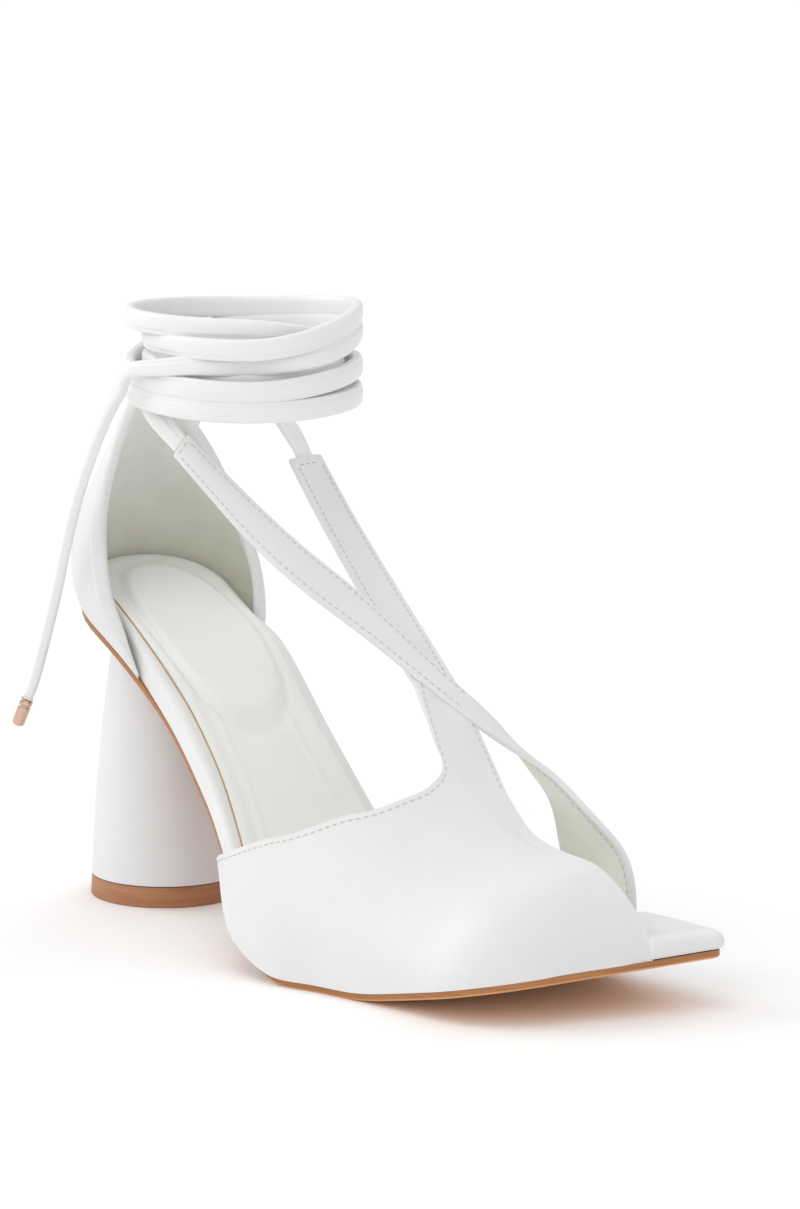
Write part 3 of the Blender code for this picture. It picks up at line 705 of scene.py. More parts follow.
def sole_grid(columns, depth=None):
    """Plan grid over the sole, its border drawn in by depth(run, station, x, y) where that is given."""
    front_y = np.linspace(lateral_edge(TOE_STATION), medial_edge(TOE_STATION), columns + 1)
    border = {}
    for i, station in enumerate(row_stations()):
        border[i, 0] = ("lateral", station, placed(station, lateral_edge(station)))
        border[i, columns] = ("medial", station, placed(station, medial_edge(station)))
    for j in range(1, columns):
        border[0, j] = ("heel", 0.0, heel_edge(2 * j / columns - 1))
        border[SOLE_ROWS, j] = ("toe", TOE_STATION, placed(TOE_STATION, front_y[j]))
    loop = edge_loop(SOLE_ROWS, columns)
    edge = np.zeros((SOLE_ROWS + 1, columns + 1, 2))
    for spot, way in zip(loop, inward(np.array([border[spot][2] for spot in loop]))):
        run, station, point = border[spot]
        edge[spot] = point + way * (depth(run, station, *point) if depth else 0.0)
    u = np.linspace(0, 1, columns + 1)[:, None]
    v = np.linspace(0, 1, SOLE_ROWS + 1)[:, None, None]
    grid = (1 - u) * edge[:, :1] + u * edge[:, -1:]
    for end, fade in ((0, (1 - v) ** END_FADE), (-1, v**END_FADE)):
        grid = grid + fade * (edge[end] - grid[end])
    return grid


def footbed_top(x, y):
    """Height of the footbed's upper face, whose arch side rises."""
    return underside(x) + smooth(FOOTBED_TOP, x) + smooth(ARCH_RISE, x) * ease(*ARCH_SPAN, y)


def seat_depth(run, station, x, y):
    """How far the footbed stands back from the sole's edge to make room for the upper and the counter."""
    if run == "heel":
        return UPPER_SEAT
    if run == "lateral":
        counter = 1.0 - ease(*COUNTER_SEAT, x)
        vamp = ease(*VAMP_SEAT, station)
        corner = ease(ROUND_START, TOE_STATION - MEDIAL_CORNER_RADIUS, station)
        return UPPER_SEAT * max(counter, vamp) + (TOE_SEAT - UPPER_SEAT) * corner
    if run == "medial":
        front, rear = STRAP_B_FOOT
        counter = 1.0 - ease(COUNTER_MEDIAL_END, COUNTER_MEDIAL_END + SEAT_EASE, x)
        strap = ease(rear - SEAT_EASE, rear - MEDIAL_CORNER_RADIUS, station)
        bare = ease(front + GAP, front + MEDIAL_CORNER_RADIUS, station)
        return UPPER_SEAT * max(counter, strap) * (1.0 - bare) - PLATFORM_OVERHANG * bare
    tuck = smooth(VAMP_RIDGE, TOE_STATION, 1) + WALL - PLATFORM_TUCK
    bare = ease(tuck, tuck + WALL, y)
    return TOE_SEAT * (1.0 - bare) - PLATFORM_OVERHANG * bare


def ridge_height(station):
    """Height of the vamp's inner edge, rounded off into the toe's front wall."""
    x = placed(station, smooth(VAMP_RIDGE, station, 1))[0]
    floor = upper_floor(x) + VAMP_LIFT
    into = max(station - (TOE_STATION - TOE_ROUND_LENGTH), 0.0) / TOE_ROUND_LENGTH
    keep = max(1.0 - min(into, 1.0) ** TOE_ROUND_POWER, 0.0) ** (1 / TOE_ROUND_POWER)
    return floor + (smooth(VAMP_RIDGE, station, 2) - floor) * keep


def vamp_point(station, share):
    """Point of the vamp's outer face, from its inner edge (share 0) down to the sole's lateral edge (1)."""
    power = 2.0 / smooth(SECTION_POWER, station)
    angle = share * math.pi / 2
    ridge = smooth(VAMP_RIDGE, station, 1)
    edge = lateral_edge(station) - smooth(VAMP_OVERHANG, station)
    y = ridge + (edge - ridge) * math.sin(angle) ** power
    x = placed(station, y)[0]
    floor = upper_floor(x) + VAMP_LIFT
    rise = max(math.cos(angle), 0.0) ** power
    swell = VAMP_BULGE * math.sin(angle) ** BULGE_POWER * math.cos(angle)
    swell *= ease(TOE_STATION, BULGE_END, station)
    return np.array([x, y - swell, floor + (ridge_height(station) - floor) * rise])


def vamp_rim():
    """The vamp's border as (station, share): along the sole, round the toe, back up its inner edge."""
    side = np.linspace(VAMP_START, ROUND_START, VAMP_SIDE_ROWS + 1)
    rim = [(station, 1.0) for station in (*side, *corner_stations())]
    fullness = smooth(SECTION_POWER, TOE_STATION)
    for lean in np.linspace(1, 0, VAMP_TOE_ROWS + 1)[1:]:
        rim.append((TOE_STATION, math.asin(lean ** (fullness / 2)) / (math.pi / 2)))
    for back in np.linspace(0, 1, VAMP_EDGE_ROWS + 1)[1:]:
        rim.append((TOE_STATION + (STRAP_START - TOE_STATION) * back**RIM_CROWDING, 0.0))
    return rim


def vamp_grid():
    """The vamp's outer face in rows from the topline out to the rim."""
    topline = along([(s, w * SHARE_LENGTH) for s, w in VAMP_TOPLINE], TOPLINE_SAMPLES)
    places = np.linspace(0, 1, TOPLINE_SAMPLES)
    grid = []
    for i, rim in enumerate(vamp_rim()):
        reach = np.interp(i, (0, CORNER_END, TOE_END, EDGE_END), (0.0, *TOPLINE_AT_TOE, 1.0))
        start = read(reach, places, topline) / (1.0, SHARE_LENGTH)
        spots = start + (np.array(rim) - start) * VAMP_STEPS[:, None]
        grid.append([vamp_point(*spot) for spot in spots])
    return np.array(grid)


def strap_surface():
    """Outer face of the crossing strap, bowed out, from the sole's medial edge up to its tab."""
    foot = []
    for station in STRAP_B_FOOT:
        x, y = placed(station, medial_edge(station))
        foot.append((x, y, upper_floor(x)))
    first, second = (along(edge, STRAP_B_ROWS + 1) for edge in zip(foot, *STRAP_B))
    across = second - first
    out = unit(np.cross(across, np.gradient(first + second, axis=0)))
    u = np.linspace(0, 1, STRAP_B_COLUMNS + 1)[:, None]
    return first[:, None] + across[:, None] * u + out[:, None] * STRAP_CROWN * 4 * u * (1 - u)


def counter_surface():
    """The counter's outer face in rows from the sole's edge up to its rim, medial end first."""
    run = [placed(s, lateral_edge(s)) for s in np.linspace(COUNTER_LATERAL_END, 0.0, COUNTER_SAMPLES)]
    run += [heel_edge(t) for t in np.linspace(-1, 1, 2 * COUNTER_SAMPLES + 1)[1:-1]]
    run += [placed(s, medial_edge(s)) for s in np.linspace(0.0, COUNTER_MEDIAL_END, COUNTER_SAMPLES)]
    plan = along(run, COUNTER_COLUMNS + 1)
    bottom = np.array([(x, y, upper_floor(x)) for x, y in plan])
    rim = along([bottom[0], *COUNTER_RIM, bottom[-1]], COUNTER_COLUMNS + 1)
    out = np.pad(unit(plan - (COUNTER_MIDDLE, 0.0)), ((0, 0), (0, 1)))
    fade = np.sin(np.linspace(0, math.pi, COUNTER_COLUMNS + 1)) ** BULGE_FADE
    v = np.linspace(0, 1, COUNTER_ROWS + 1)[:, None, None]
    grid = (1 - v) * bottom + v * rim + out * COUNTER_BULGE * 4 * v * (1 - v) * fade[:, None]
    return grid[:, -2:0:-1]


def wrap(start, way, rows):
    """Points round the ankle at even steps of turn, start being degrees from the shoe's right side."""
    points = []
    for turn in np.arange(rows[0][0], rows[-1][0] + 1.0, WRAP_STEP):
        angle = math.radians(RIGHT_SIDE - start - way * turn)
        radius = smooth(rows, turn, 1)
        x = ANKLE_X + ANKLE_LONG * radius * math.cos(angle)
        y = ANKLE_Y + ANKLE_WIDE * radius * math.sin(angle)
        points.append((x, y, WRAP_LEVEL + (smooth(rows, turn, 2) - WRAP_LEVEL) * WRAP_SQUEEZE))
    return points


def tie_route(lead, start, way, rows, tail):
    """One tie's middle line in even steps, from its tab round the ankle and down its free end."""
    points = [*lead, *wrap(start, way, rows), *tail]
    length = lengths(along(points, ROUTE_SAMPLES * len(points)))[-1]
    return along(points, round(length / TIE_STEP) + 1)


# Materials


def set_sockets(node, values):
    """Sets values on a node's own sockets. An underscore stands for a space in a socket's name."""
    for name, value in values.items():
        node.inputs[name.replace("_", " ")].default_value = value


def new_material(name, **sockets):
    material = bpy.data.materials.new(name)
    material.use_nodes = True
    shader = material.node_tree.nodes["Principled BSDF"]
    set_sockets(shader, sockets)
    return material, material.node_tree, shader


def add_node(tree, kind, **sockets):
    node = tree.nodes.new(kind)
    set_sockets(node, sockets)
    return node


def place_node(tree, stretch=(1.0, 1.0, 1.0)):
    """Position on the object, scaled, as the input of a texture."""
    coords = tree.nodes.new("ShaderNodeTexCoord")
    mapping = add_node(tree, "ShaderNodeMapping", Scale=stretch)
    tree.links.new(coords.outputs["Object"], mapping.inputs["Vector"])
    return mapping.outputs["Vector"]


def noise(tree, place, scale, detail, roughness):
    texture = add_node(tree, "ShaderNodeTexNoise", Scale=scale, Detail=detail, Roughness=roughness)
    tree.links.new(place, texture.inputs["Vector"])
    return texture.outputs["Fac"]


def shaded(tree, shader, texture, light, dark, span):
    """Base colour that runs from dark to light over a span of a texture's values."""
    ramp = tree.nodes.new("ShaderNodeValToRGB")
    for element, position, colour in zip(ramp.color_ramp.elements, span, (dark, light)):
        element.position = position
        element.color = (*colour, 1.0)
    tree.links.new(texture, ramp.inputs["Fac"])
    tree.links.new(ramp.outputs["Color"], shader.inputs["Base Color"])


def bumped(tree, shader, strength, depth, *heights):
    """One bump, its depth in millimetres, from several (texture output, share) heights."""
    total = None
    for output, share in heights:
        added = tree.nodes.new("ShaderNodeMath")
        added.operation = "MULTIPLY_ADD"
        added.inputs[1].default_value = share
        added.inputs[2].default_value = 0.0
        tree.links.new(output, added.inputs[0])
        if total is not None:
            tree.links.new(total, added.inputs[2])
        total = added.outputs[0]
    bump = add_node(tree, "ShaderNodeBump", Strength=strength, Distance=depth * MM)
    tree.links.new(total, bump.inputs["Height"])
    tree.links.new(bump.outputs["Normal"], shader.inputs["Normal"])


def leather(name, light, dark, roughness, grain=0.25, pulled=EVEN_PULL, gloss=0.5):
    """Smooth leather: fine pores, the pull of the hide along one way or none, and a soft sheen."""
    coat = {"Coat_Weight": COAT_WEIGHT, "Coat_Roughness": COAT_ROUGHNESS}
    material, tree, shader = new_material(name, Roughness=roughness, Specular_IOR_Level=gloss, **coat)
    place = place_node(tree)
    shaded(tree, shader, noise(tree, place, *MOTTLE), light, dark, MOTTLE_SPAN)
    pores = add_node(tree, "ShaderNodeTexVoronoi", Scale=PORE_SCALE)
    tree.links.new(place, pores.inputs["Vector"])
    hide = noise(tree, place, *HIDE)
    pull = noise(tree, place_node(tree, pulled), *PULL)
    heights = zip((pores.outputs["Distance"], hide, pull), LEATHER_SHARES)
    bumped(tree, shader, grain, LEATHER_DEPTH, *heights)
    return material


def painted_low_shade(tree, place, shader, shade_tint, low, high):
    """Painted shade: darkens and yellows the base colour lower down, fully under the low height, and not at
    all over the high one.
    """
    height = tree.nodes.new("ShaderNodeSeparateXYZ")
    tree.links.new(place, height.inputs["Vector"])
    share = add_node(tree, "ShaderNodeMapRange", From_Min=high * MM, From_Max=low * MM)
    tree.links.new(height.outputs["Z"], share.inputs["Value"])
    shade_mix = add_node(tree, "ShaderNodeMixRGB", Color2=(*shade_tint, 1.0))
    shade_mix.blend_type = "MULTIPLY"
    tree.links.new(share.outputs["Result"], shade_mix.inputs["Fac"])
    tree.links.new(shader.inputs["Base Color"].links[0].from_socket, shade_mix.inputs["Color1"])
    tree.links.new(shade_mix.outputs["Color"], shader.inputs["Base Color"])


def lining(name, light, dark, wrinkle, shade_tint=None):
    """Napped lining: matt, slightly furry, finely wrinkled, and darkened low down with painted shade where
    a shade tint is given.
    """
    material, tree, shader = new_material(name, Roughness=LINING_ROUGHNESS, Sheen_Weight=LINING_SHEEN)
    place = place_node(tree)
    shaded(tree, shader, noise(tree, place, *LINING_MOTTLE), light, dark, MOTTLE_SPAN)
    if shade_tint is not None:
        painted_low_shade(tree, place, shader, *shade_tint)
    nap = noise(tree, place, *NAP)
    fold = noise(tree, place_node(tree, FOLD_STRETCH), *FOLD)
    bumped(tree, shader, LINING_BUMP, LINING_DEPTH, (nap, NAP_SHARE), (fold, wrinkle))
    return material


def layered(name, light, dark, roughness, layers):
    """Cut edge of stacked sole leather: thin level streaks."""
    material, tree, shader = new_material(name, Roughness=roughness)
    streak = noise(tree, place_node(tree, (STREAK_ACROSS, STREAK_ACROSS, layers)), *STREAK)
    shaded(tree, shader, streak, light, dark, STREAK_SPAN)
    bumped(tree, shader, STREAK_BUMP, STREAK_DEPTH, (streak, 1.0))
    return material


def plain(name, colour, stretch, texture, strength, depth, **sockets):
    """One colour under a fine bump."""
    material, tree, shader = new_material(name, Base_Color=(*colour, 1.0), **sockets)
    bumped(tree, shader, strength, depth, (noise(tree, place_node(tree, stretch), *texture), 1.0))
    return material


# Name, light and dark shade and roughness, then grain, the pull of the hide and gloss where they differ
WHITE = leather("white_leather", (0.775, 0.775, 0.774), (0.75, 0.75, 0.749), 0.6, gloss=0.28)
HEEL_WHITE = leather("heel_leather", (0.755, 0.76, 0.772), (0.735, 0.74, 0.752), 0.46, 0.2)
INSOLE = leather("insole_leather", (0.865, 0.87, 0.845), (0.838, 0.844, 0.817), 0.46)
TIE_WHITE = leather("tie_leather_rolled", (0.84, 0.84, 0.836), (0.81, 0.81, 0.805), 0.42, 0.3, TIE_PULL)
COVER = leather("platform_leather", (0.785, 0.787, 0.78), (0.76, 0.763, 0.755), 0.42)
# Name, light and dark shade, share of the wrinkles, painted shade tint low down
LINING = lining("cream_lining", (0.78, 0.78, 0.70), (0.68, 0.682, 0.60), 0.6)
# The counter's lining is darker and yellower towards the insole: painted shade deep in the heel cup, over a
# yellowish tone of the lining itself
COUNTER_LINING = lining("counter_lining", (0.90, 0.90, 0.87), (0.83, 0.83, 0.79), 0.6, COUNTER_SHADE_TINT)
STRAP_LINING = lining("strap_lining", (0.85, 0.845, 0.775), (0.77, 0.765, 0.695), 1.6)
# Name, light and dark shade, roughness, closeness of the layers
SOLE_TAN = layered("tan_sole", (0.47, 0.205, 0.072), (0.35, 0.14, 0.045), 0.45, 900.0)
TREAD_TAN = layered("tan_tread", (0.80, 0.40, 0.16), (0.72, 0.34, 0.12), 0.5, 900.0)
LIFT_BROWN = layered("brown_lift", (0.47, 0.215, 0.098), (0.345, 0.15, 0.065), 0.5, 700.0)
PIPING = layered("tan_piping", (0.56, 0.33, 0.15), (0.45, 0.25, 0.11), 0.5, 600.0)
# Name, colour, stretch and noise of the bump, its strength and depth, shader values
# The thread's off-white is darkened to beige-grey: painted shade of the needle holes it lies in
SHADED_THREAD = plain("thread", (0.61, 0.595, 0.55), (1.0, 1.0, 1.0), TWIST, 0.4, 0.2, Roughness=0.7)
ROSE_METAL = plain(
    "rose_metal", (0.67, 0.47, 0.36), HAIRLINES, PULL, 0.08, 0.1, Roughness=0.16, Metallic=1.0
)


# Meshes


def add_object(name, data):
    thing = bpy.data.objects.new(name, data)
    bpy.context.scene.collection.objects.link(thing)
    return thing


def add_piece(mesh, materials, slot, *nodes):
    """A piece of the object, on its only body, standing for the given nodes."""
    piece = add_object(mesh.name, mesh)
    for material in materials:
        mesh.materials.append(material)
    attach(piece, BODY)
    if nodes:
        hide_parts(*nodes)
    return piece


def mesh_of(name, points, faces, closed=True, sharp=None):
    """A smooth mesh from points in millimetres. A closed one has its faces turned outwards."""
    mesh = bpy.data.meshes.new(name)
    mesh.from_pydata((np.array(points) * MM).tolist(), [], faces)
    work = bmesh.new()
    work.from_mesh(mesh)
    bmesh.ops.remove_doubles(work, verts=work.verts, dist=MERGE_WITHIN * MM)
    if closed:
        bmesh.ops.recalc_face_normals(work, faces=work.faces)
    work.to_mesh(mesh)
    work.free()
    mesh.shade_smooth()
    if sharp:
        mesh.set_sharp_from_angle(angle=math.radians(sharp))
    return mesh


def grid_mesh(name, grid):
    """An open surface over a grid of points. It faces the way that columns crossed with rows point."""
    rows, columns = len(grid), len(grid[0])
    faces = []
    for i, j in product(range(rows - 1), range(columns - 1)):
        a = i * columns + j
        faces.append((a, a + 1, a + columns + 1, a + columns))
    return mesh_of(name, np.reshape(grid, (-1, 3)), faces, closed=False)


def slab_mesh(name, levels):
    """A closed slab. Each level is (plan grid, height function), bottom first and top last."""
    rows, columns = levels[0][0].shape[0] - 1, levels[0][0].shape[1] - 1
    loop = edge_loop(rows, columns)
    points, faces = [], []

    def add(grid, height, spot):
        points.append((*grid[spot], height(*grid[spot])))
        return len(points) - 1

    rings = [{spot: add(*level, spot) for spot in loop} for level in levels]
    for below, above in zip(rings, rings[1:]):
        for spot, after in zip(loop, loop[1:] + loop[:1]):
            faces.append((below[spot], below[after], above[after], above[spot]))
    for at, level in ((rings[0], levels[0]), (rings[-1], levels[-1])):
        for spot in product(range(1, rows), range(1, columns)):
            at[spot] = add(*level, spot)
        for i, j in product(range(rows), range(columns)):
            faces.append((at[i, j], at[i, j + 1], at[i + 1, j + 1], at[i + 1, j]))
    return mesh_of(name, points, faces, sharp=SLAB_SHARP)


def round_turns(sides):
    return np.linspace(0.0, 2 * math.pi, sides, endpoint=False)


def ring_faces(rings, sides, base=0):
    """Faces of a closed tube whose points come in rings, one ring after another."""
    last = base + (rings - 1) * sides
    faces = []
    for a, k in product(range(base, last, sides), range(sides)):
        after = (k + 1) % sides
        faces.append((a + k, a + after, a + sides + after, a + sides + k))
    return [*faces, tuple(range(base, base + sides)), tuple(range(last + sides - 1, last - 1, -1))]


def ring_mesh(name, rings, sharp=None):
    """A closed mesh over an array of rings of points."""
    return mesh_of(name, rings.reshape(-1, 3), ring_faces(*rings.shape[:2]), sharp=sharp)


def turned_mesh(name, sides, radii, heights, sharp):
    """A closed solid about Z, from the radius and the height of each ring or of each of its points."""
    turns = round_turns(sides)
    rings = np.broadcast_arrays(radii * np.cos(turns), radii * np.sin(turns), heights)
    return ring_mesh(name, np.stack(rings, axis=2), sharp)


def tube_mesh(name, path, wide, thick, sections, sides=TIE_SIDES, power=TIE_POWER, seam=None):
    """A closed tube along path, of (width, thickness) sections, with a sunk seam where one is given."""
    turns = round_turns(sides)
    across, out = (np.sign(way) * np.abs(way) ** (2 / power) / 2 for way in (np.cos(turns), np.sin(turns)))
    if seam:
        at, spread, sunk = seam
        keep = 1.0 - sunk * gauss((np.degrees(turns) - at) / spread)
        across, out = across * keep, out * keep
    sections = np.array(sections)
    rings = path[:, None] + wide[:, None] * (sections[:, :1] * across)[:, :, None]
    return ring_mesh(name, rings + thick[:, None] * (sections[:, 1:] * out)[:, :, None])


def cord_mesh(name, path, facing, sections, *shape):
    """A tube along path whose thickness lies towards facing."""
    tangent = unit(np.gradient(path, axis=0))
    thick = unit(facing - tangent * (facing * tangent).sum(axis=1, keepdims=True))
    return tube_mesh(name, path, unit(np.cross(tangent, thick)), thick, sections, *shape)


def grid_normals(grid):
    """Unit normals of a grid of points, facing the way that columns crossed with rows point."""
    return unit(np.cross(np.gradient(grid, axis=1), np.gradient(grid, axis=0)))


def shell(piece, wall, shares=None):
    """Gives an open surface a wall on its inner side with rounded edges; slot 1 lines it.

    Shares, where given, say how much of the wall each point of the surface gets.
    """
    solid = piece.modifiers.new("wall", "SOLIDIFY")
    if shares is not None:
        group = piece.vertex_groups.new(name="wall")
        for k, share in enumerate(shares):
            group.add([k], float(share), "REPLACE")
        solid.vertex_group = group.name
    solid.thickness = wall * MM
    solid.offset = -1.0
    solid.use_even_offset = False
    solid.material_offset = 1
    solid.material_offset_rim = 0
    bevel = piece.modifiers.new("edge", "BEVEL")
    bevel.width = EDGE_ROUND * MM
    bevel.segments = EDGE_SEGMENTS
    bevel.limit_method = "ANGLE"
    bevel.angle_limit = math.radians(EDGE_ANGLE)
    bevel.harden_normals = True


# Camera and ties come first


def direction(azimuth, elevation):
    """Unit vector out to where a camera stands or a light comes from."""
    turn, rise = math.radians(azimuth), math.radians(elevation)
    return Vector((math.sin(turn) * math.cos(rise), -math.cos(turn) * math.cos(rise), math.sin(rise)))


def turn_to(thing, facing, axis, up="Y"):
    """Turns an object so that one of its own axes points along facing."""
    thing.rotation_mode = "QUATERNION"
    thing.rotation_quaternion = facing.to_track_quat(axis, up)


def make_camera():
    back = direction(CAMERA_AZIMUTH, CAMERA_ELEVATION)
    data = bpy.data.cameras.new("camera")
    data.lens = CAMERA_LENS
    data.sensor_width = CAMERA_SENSOR
    camera = add_object("camera", data)
    camera.location = (Vector(CAMERA_TARGET) + back * CAMERA_DISTANCE) * MM
    turn_to(camera, -back, "-Z")
    bpy.context.scene.camera = camera


def make_tie(name, node, route, tab_face):
    """One rolled leather tie as a flattened tube with a seam, flat where it enters its tab."""
    reach = lengths(route)
    radial = route - (ANKLE_X, ANKLE_Y, 0.0)
    radial[:, 2] = 0.0
    turned = np.array([ease(*TIE_TURN, r) for r in reach])[:, None]
    facing = np.array(tab_face) * (1 - turned) + unit(radial) * turned
    sections = []
    for r in reach:
        left = reach[-1] - r
        sections.append([min(smooth(TIE_START, r, k), smooth(TIE_END, left, k)) for k in (1, 2)])
    mesh = cord_mesh(name, route, facing, sections, TIE_SIDES, TIE_POWER, TIE_SEAM)
    return add_piece(mesh, [TIE_WHITE], "tie_leather", node), float(reach[-1])


def make_aglet(name, node, route):
    """A crimped metal tip in line with the end of its tie."""
    profile = [(AGLET_RADIUS - inset, height) for inset, height in AGLET_SLEEVE]
    for turn in np.linspace(0, math.pi / 2, AGLET_TIP_STEPS + 1):
        radius = AGLET_RADIUS * (AGLET_FLAT + (1 - AGLET_FLAT) * math.cos(turn))
        profile.append((radius, AGLET_LENGTH - AGLET_RADIUS * AGLET_DOME * (1 - math.sin(turn))))
    mesh = turned_mesh(name, AGLET_SIDES, *np.array(profile).T[:, :, None], TURNED_SHARP)
    piece = add_piece(mesh, [ROSE_METAL], "aglet_metal", node)
    way = Vector(route[-1] - route[-2]).normalized()
    piece.location = (Vector(route[-1]) + way * GAP) * MM
    turn_to(piece, way, "Z")
    return piece


def make_ties():
    plans = (
        ("medial", TIE_A_LEAD, TIE_A_START, -1.0, TIE_A_WRAP, TIE_A_TAIL, TAB_FACE_A),
        ("lateral", TIE_B_LEAD, TIE_B_START, 1.0, TIE_B_WRAP, TIE_B_TAIL, TAB_FACE_B),
    )
    for side, lead, start, way, rows, tail, tab_face in plans:
        route = tie_route(lead, start, way, rows, tail)
        tie, length = make_tie(f"tie_{side}_cord", f"tie_{side}", route, tab_face)
        aglet = make_aglet(f"aglet_{side}_tip", f"aglet_{side}", route)


# Sole


def make_outsole():
    full = sole_grid(OUTSOLE_COLUMNS)
    drawn_in = sole_grid(OUTSOLE_COLUMNS, lambda *spot: OUTSOLE_CHAMFER)
    levels = (
        (drawn_in, lambda x, y: underside(x)),
        (full, lambda x, y: underside(x) + OUTSOLE_CHAMFER),
        (full, lambda x, y: underside(x) + OUTSOLE_THICKNESS),
    )
    mesh = slab_mesh("outsole_leather", levels)
    for face in mesh.polygons:
        face.material_index = int(face.normal.z < TREAD_FACING and face.center.x / MM > SLANT_START)
    add_piece(mesh, [SOLE_TAN, TREAD_TAN], "sole_edge", "outsole")


def pillow_drop(x, inset):
    """How far the bare toe's top falls away towards its edge."""
    rise = min(max((inset + PLATFORM_OVERHANG) / PILLOW_WIDTH, 0.0), 1.0)
    return PILLOW_DROP * ease(*PILLOW_SPAN, x) * (1.0 - math.sqrt(1.0 - (1.0 - rise) ** 2))


def edge_round(x):
    """Width and height of the rounding along the footbed's edge, larger at the bare toe."""
    at_toe = ease(*PILLOW_SPAN, x)
    return [FOOTBED_ROUND + (size - FOOTBED_ROUND) * at_toe for size in PILLOW_ROUND]


def insole_relief(x, y, inset):
    """Height of the insole's mouldings, inset being the distance from the sole's edge."""
    covered = 1.0 - ease(*SOCK_FADE, x)
    sock = SOCK_RISE * ease(*SOCK_STEP, inset)
    bead = BEAD_RISE * gauss((inset - BEAD_INSET) / BEAD_WIDTH)
    channel = CHANNEL_DROP * gauss((inset - CHANNEL_INSET) / CHANNEL_WIDTH)
    dish = DISH_DROP * ease(*DISH_SPAN, inset)
    along_pad = abs(x - PAD_MIDDLE[0]) / PAD_HALF[0]
    across_pad = abs(y - PAD_MIDDLE[1]) / PAD_HALF[1]
    inside = 1.0 - (along_pad**PAD_POWER + across_pad**PAD_POWER) ** (1 / PAD_POWER)
    cut = PAD_GROOVE * (PAD_GROOVE_LEAST + (1.0 - PAD_GROOVE_LEAST) * ease(*PAD_GROOVE_FADE, x))
    pad = PAD_RISE * ease(0.0, PAD_EDGE, inside) - cut * gauss((inside + PAD_GROOVE_AT) / PAD_GROOVE_AT)
    flat = (1.0 - ease(-PAD_EDGE, 0.0, inside)) * ease(*MOULD_START, x)
    return (sock + (bead - channel - dish) * flat) * covered + pad


def make_footbed():
    """Covered platform with the insole's sock, its mouldings and its padded heel on top."""
    edge = sole_grid(FOOTBED_COLUMNS)
    border = np.array([edge[spot] for spot in edge_loop(SOLE_ROWS, FOOTBED_COLUMNS)])

    def inset(x, y):
        return float(np.sqrt(((border - (x, y)) ** 2).sum(axis=1).min()))

    def shoulder(share):
        across, down = 1 - math.cos(share * math.pi / 2), 1 - math.sin(share * math.pi / 2)

        def depth(run, station, x, y):
            return seat_depth(run, station, x, y) + edge_round(x)[0] * across

        def height(x, y):
            wide, high = edge_round(x)
            return footbed_top(x, y) - high * down - pillow_drop(x, wide * across - PLATFORM_OVERHANG)

        return sole_grid(FOOTBED_COLUMNS, depth), height

    widest = shoulder(0.0)

    def undercut(share):
        out, up = math.sin(share * math.pi / 2), 1 - math.cos(share * math.pi / 2)

        def depth(*spot):
            full = seat_depth(*spot)
            return max(full, 0.0) + min(full, 0.0) * out

        def height(x, y):
            return upper_floor(x) + (widest[1](x, y) - upper_floor(x)) * up

        return sole_grid(FOOTBED_COLUMNS, depth), height

    def top_height(x, y):
        away = inset(x, y)
        return footbed_top(x, y) + insole_relief(x, y, away) - pillow_drop(x, away)

    levels = [undercut(k / UNDERCUT_STEPS) for k in range(UNDERCUT_STEPS)]
    levels += [widest, *(shoulder(k / SHOULDER_STEPS) for k in range(1, SHOULDER_STEPS))]
    levels.append((shoulder(1.0)[0], top_height))
    mesh = slab_mesh("footbed_covered", levels)
    for face in mesh.polygons:
        x, y = face.center.x / MM, face.center.y / MM
        raised = face.normal.z > INSOLE_FACING and face.center.z / MM > footbed_top(x, y) - PAD_RISE
        face.material_index = int(raised and x < SOCK_FADE[1] and inset(x, y) > SOCK_INSET)
    add_piece(mesh, [COVER, INSOLE], "footbed_cover", "footbed")


def make_piping():
    """Tan cut edge of the insole's sock on its lateral side, from inside the counter to the vamp."""
    plan = along(PIPING_LINE, PIPING_STEPS)
    path = np.array([(x, y, footbed_top(x, y) + PIPING_LIFT) for x, y in plan])
    sections = [(PIPING_WIDTH, PIPING_WIDTH)] * len(path)
    mesh = cord_mesh("insole_piping", path, np.array([0.0, 0.0, 1.0]), sections, PIPING_SIDES, ROUND_POWER)
    add_piece(mesh, [PIPING], "sole_edge")


def make_heel():
    """The wrapped conical block, cut off under the sloping heel seat."""
    low, high = HEEL_PROFILE[0][0], HEEL_PROFILE[-1][0]
    tops = []
    for turn in round_turns(HEEL_SIDES):
        top = high
        for _ in range(HEEL_CUT_TRIES):
            top = min(underside(smooth(HEEL_PROFILE, top) * math.cos(turn)) - GAP, high)
        tops.append(top)
    heights = low + np.outer(np.linspace(1, 0, HEEL_STEPS + 1), np.array(tops) - low)
    radii = np.array([[smooth(HEEL_PROFILE, z) for z in ring] for ring in heights])
    mesh = turned_mesh("heel_block", HEEL_SIDES, radii, heights, HEEL_SHARP)
    add_piece(mesh, [HEEL_WHITE], "heel_cover", "heel")


def make_lift():
    mesh = turned_mesh("heel_lift", HEEL_SIDES, *np.array(LIFT_PROFILE).T[:, :, None], TURNED_SHARP)
    add_piece(mesh, [LIFT_BROWN], "top_piece", "heel_top_piece")


# Upper


def crease_drops(grid):
    """How far soft creases push each point of the leather in."""
    drop = np.zeros(grid.shape[:2])
    for depth, half_width, line in VAMP_CREASES:
        spots = along(line, CREASE_SPOTS)
        away = np.linalg.norm(grid[:, :, None] - spots, axis=3).min(axis=2)
        drop += depth * gauss(away / half_width)
    return drop


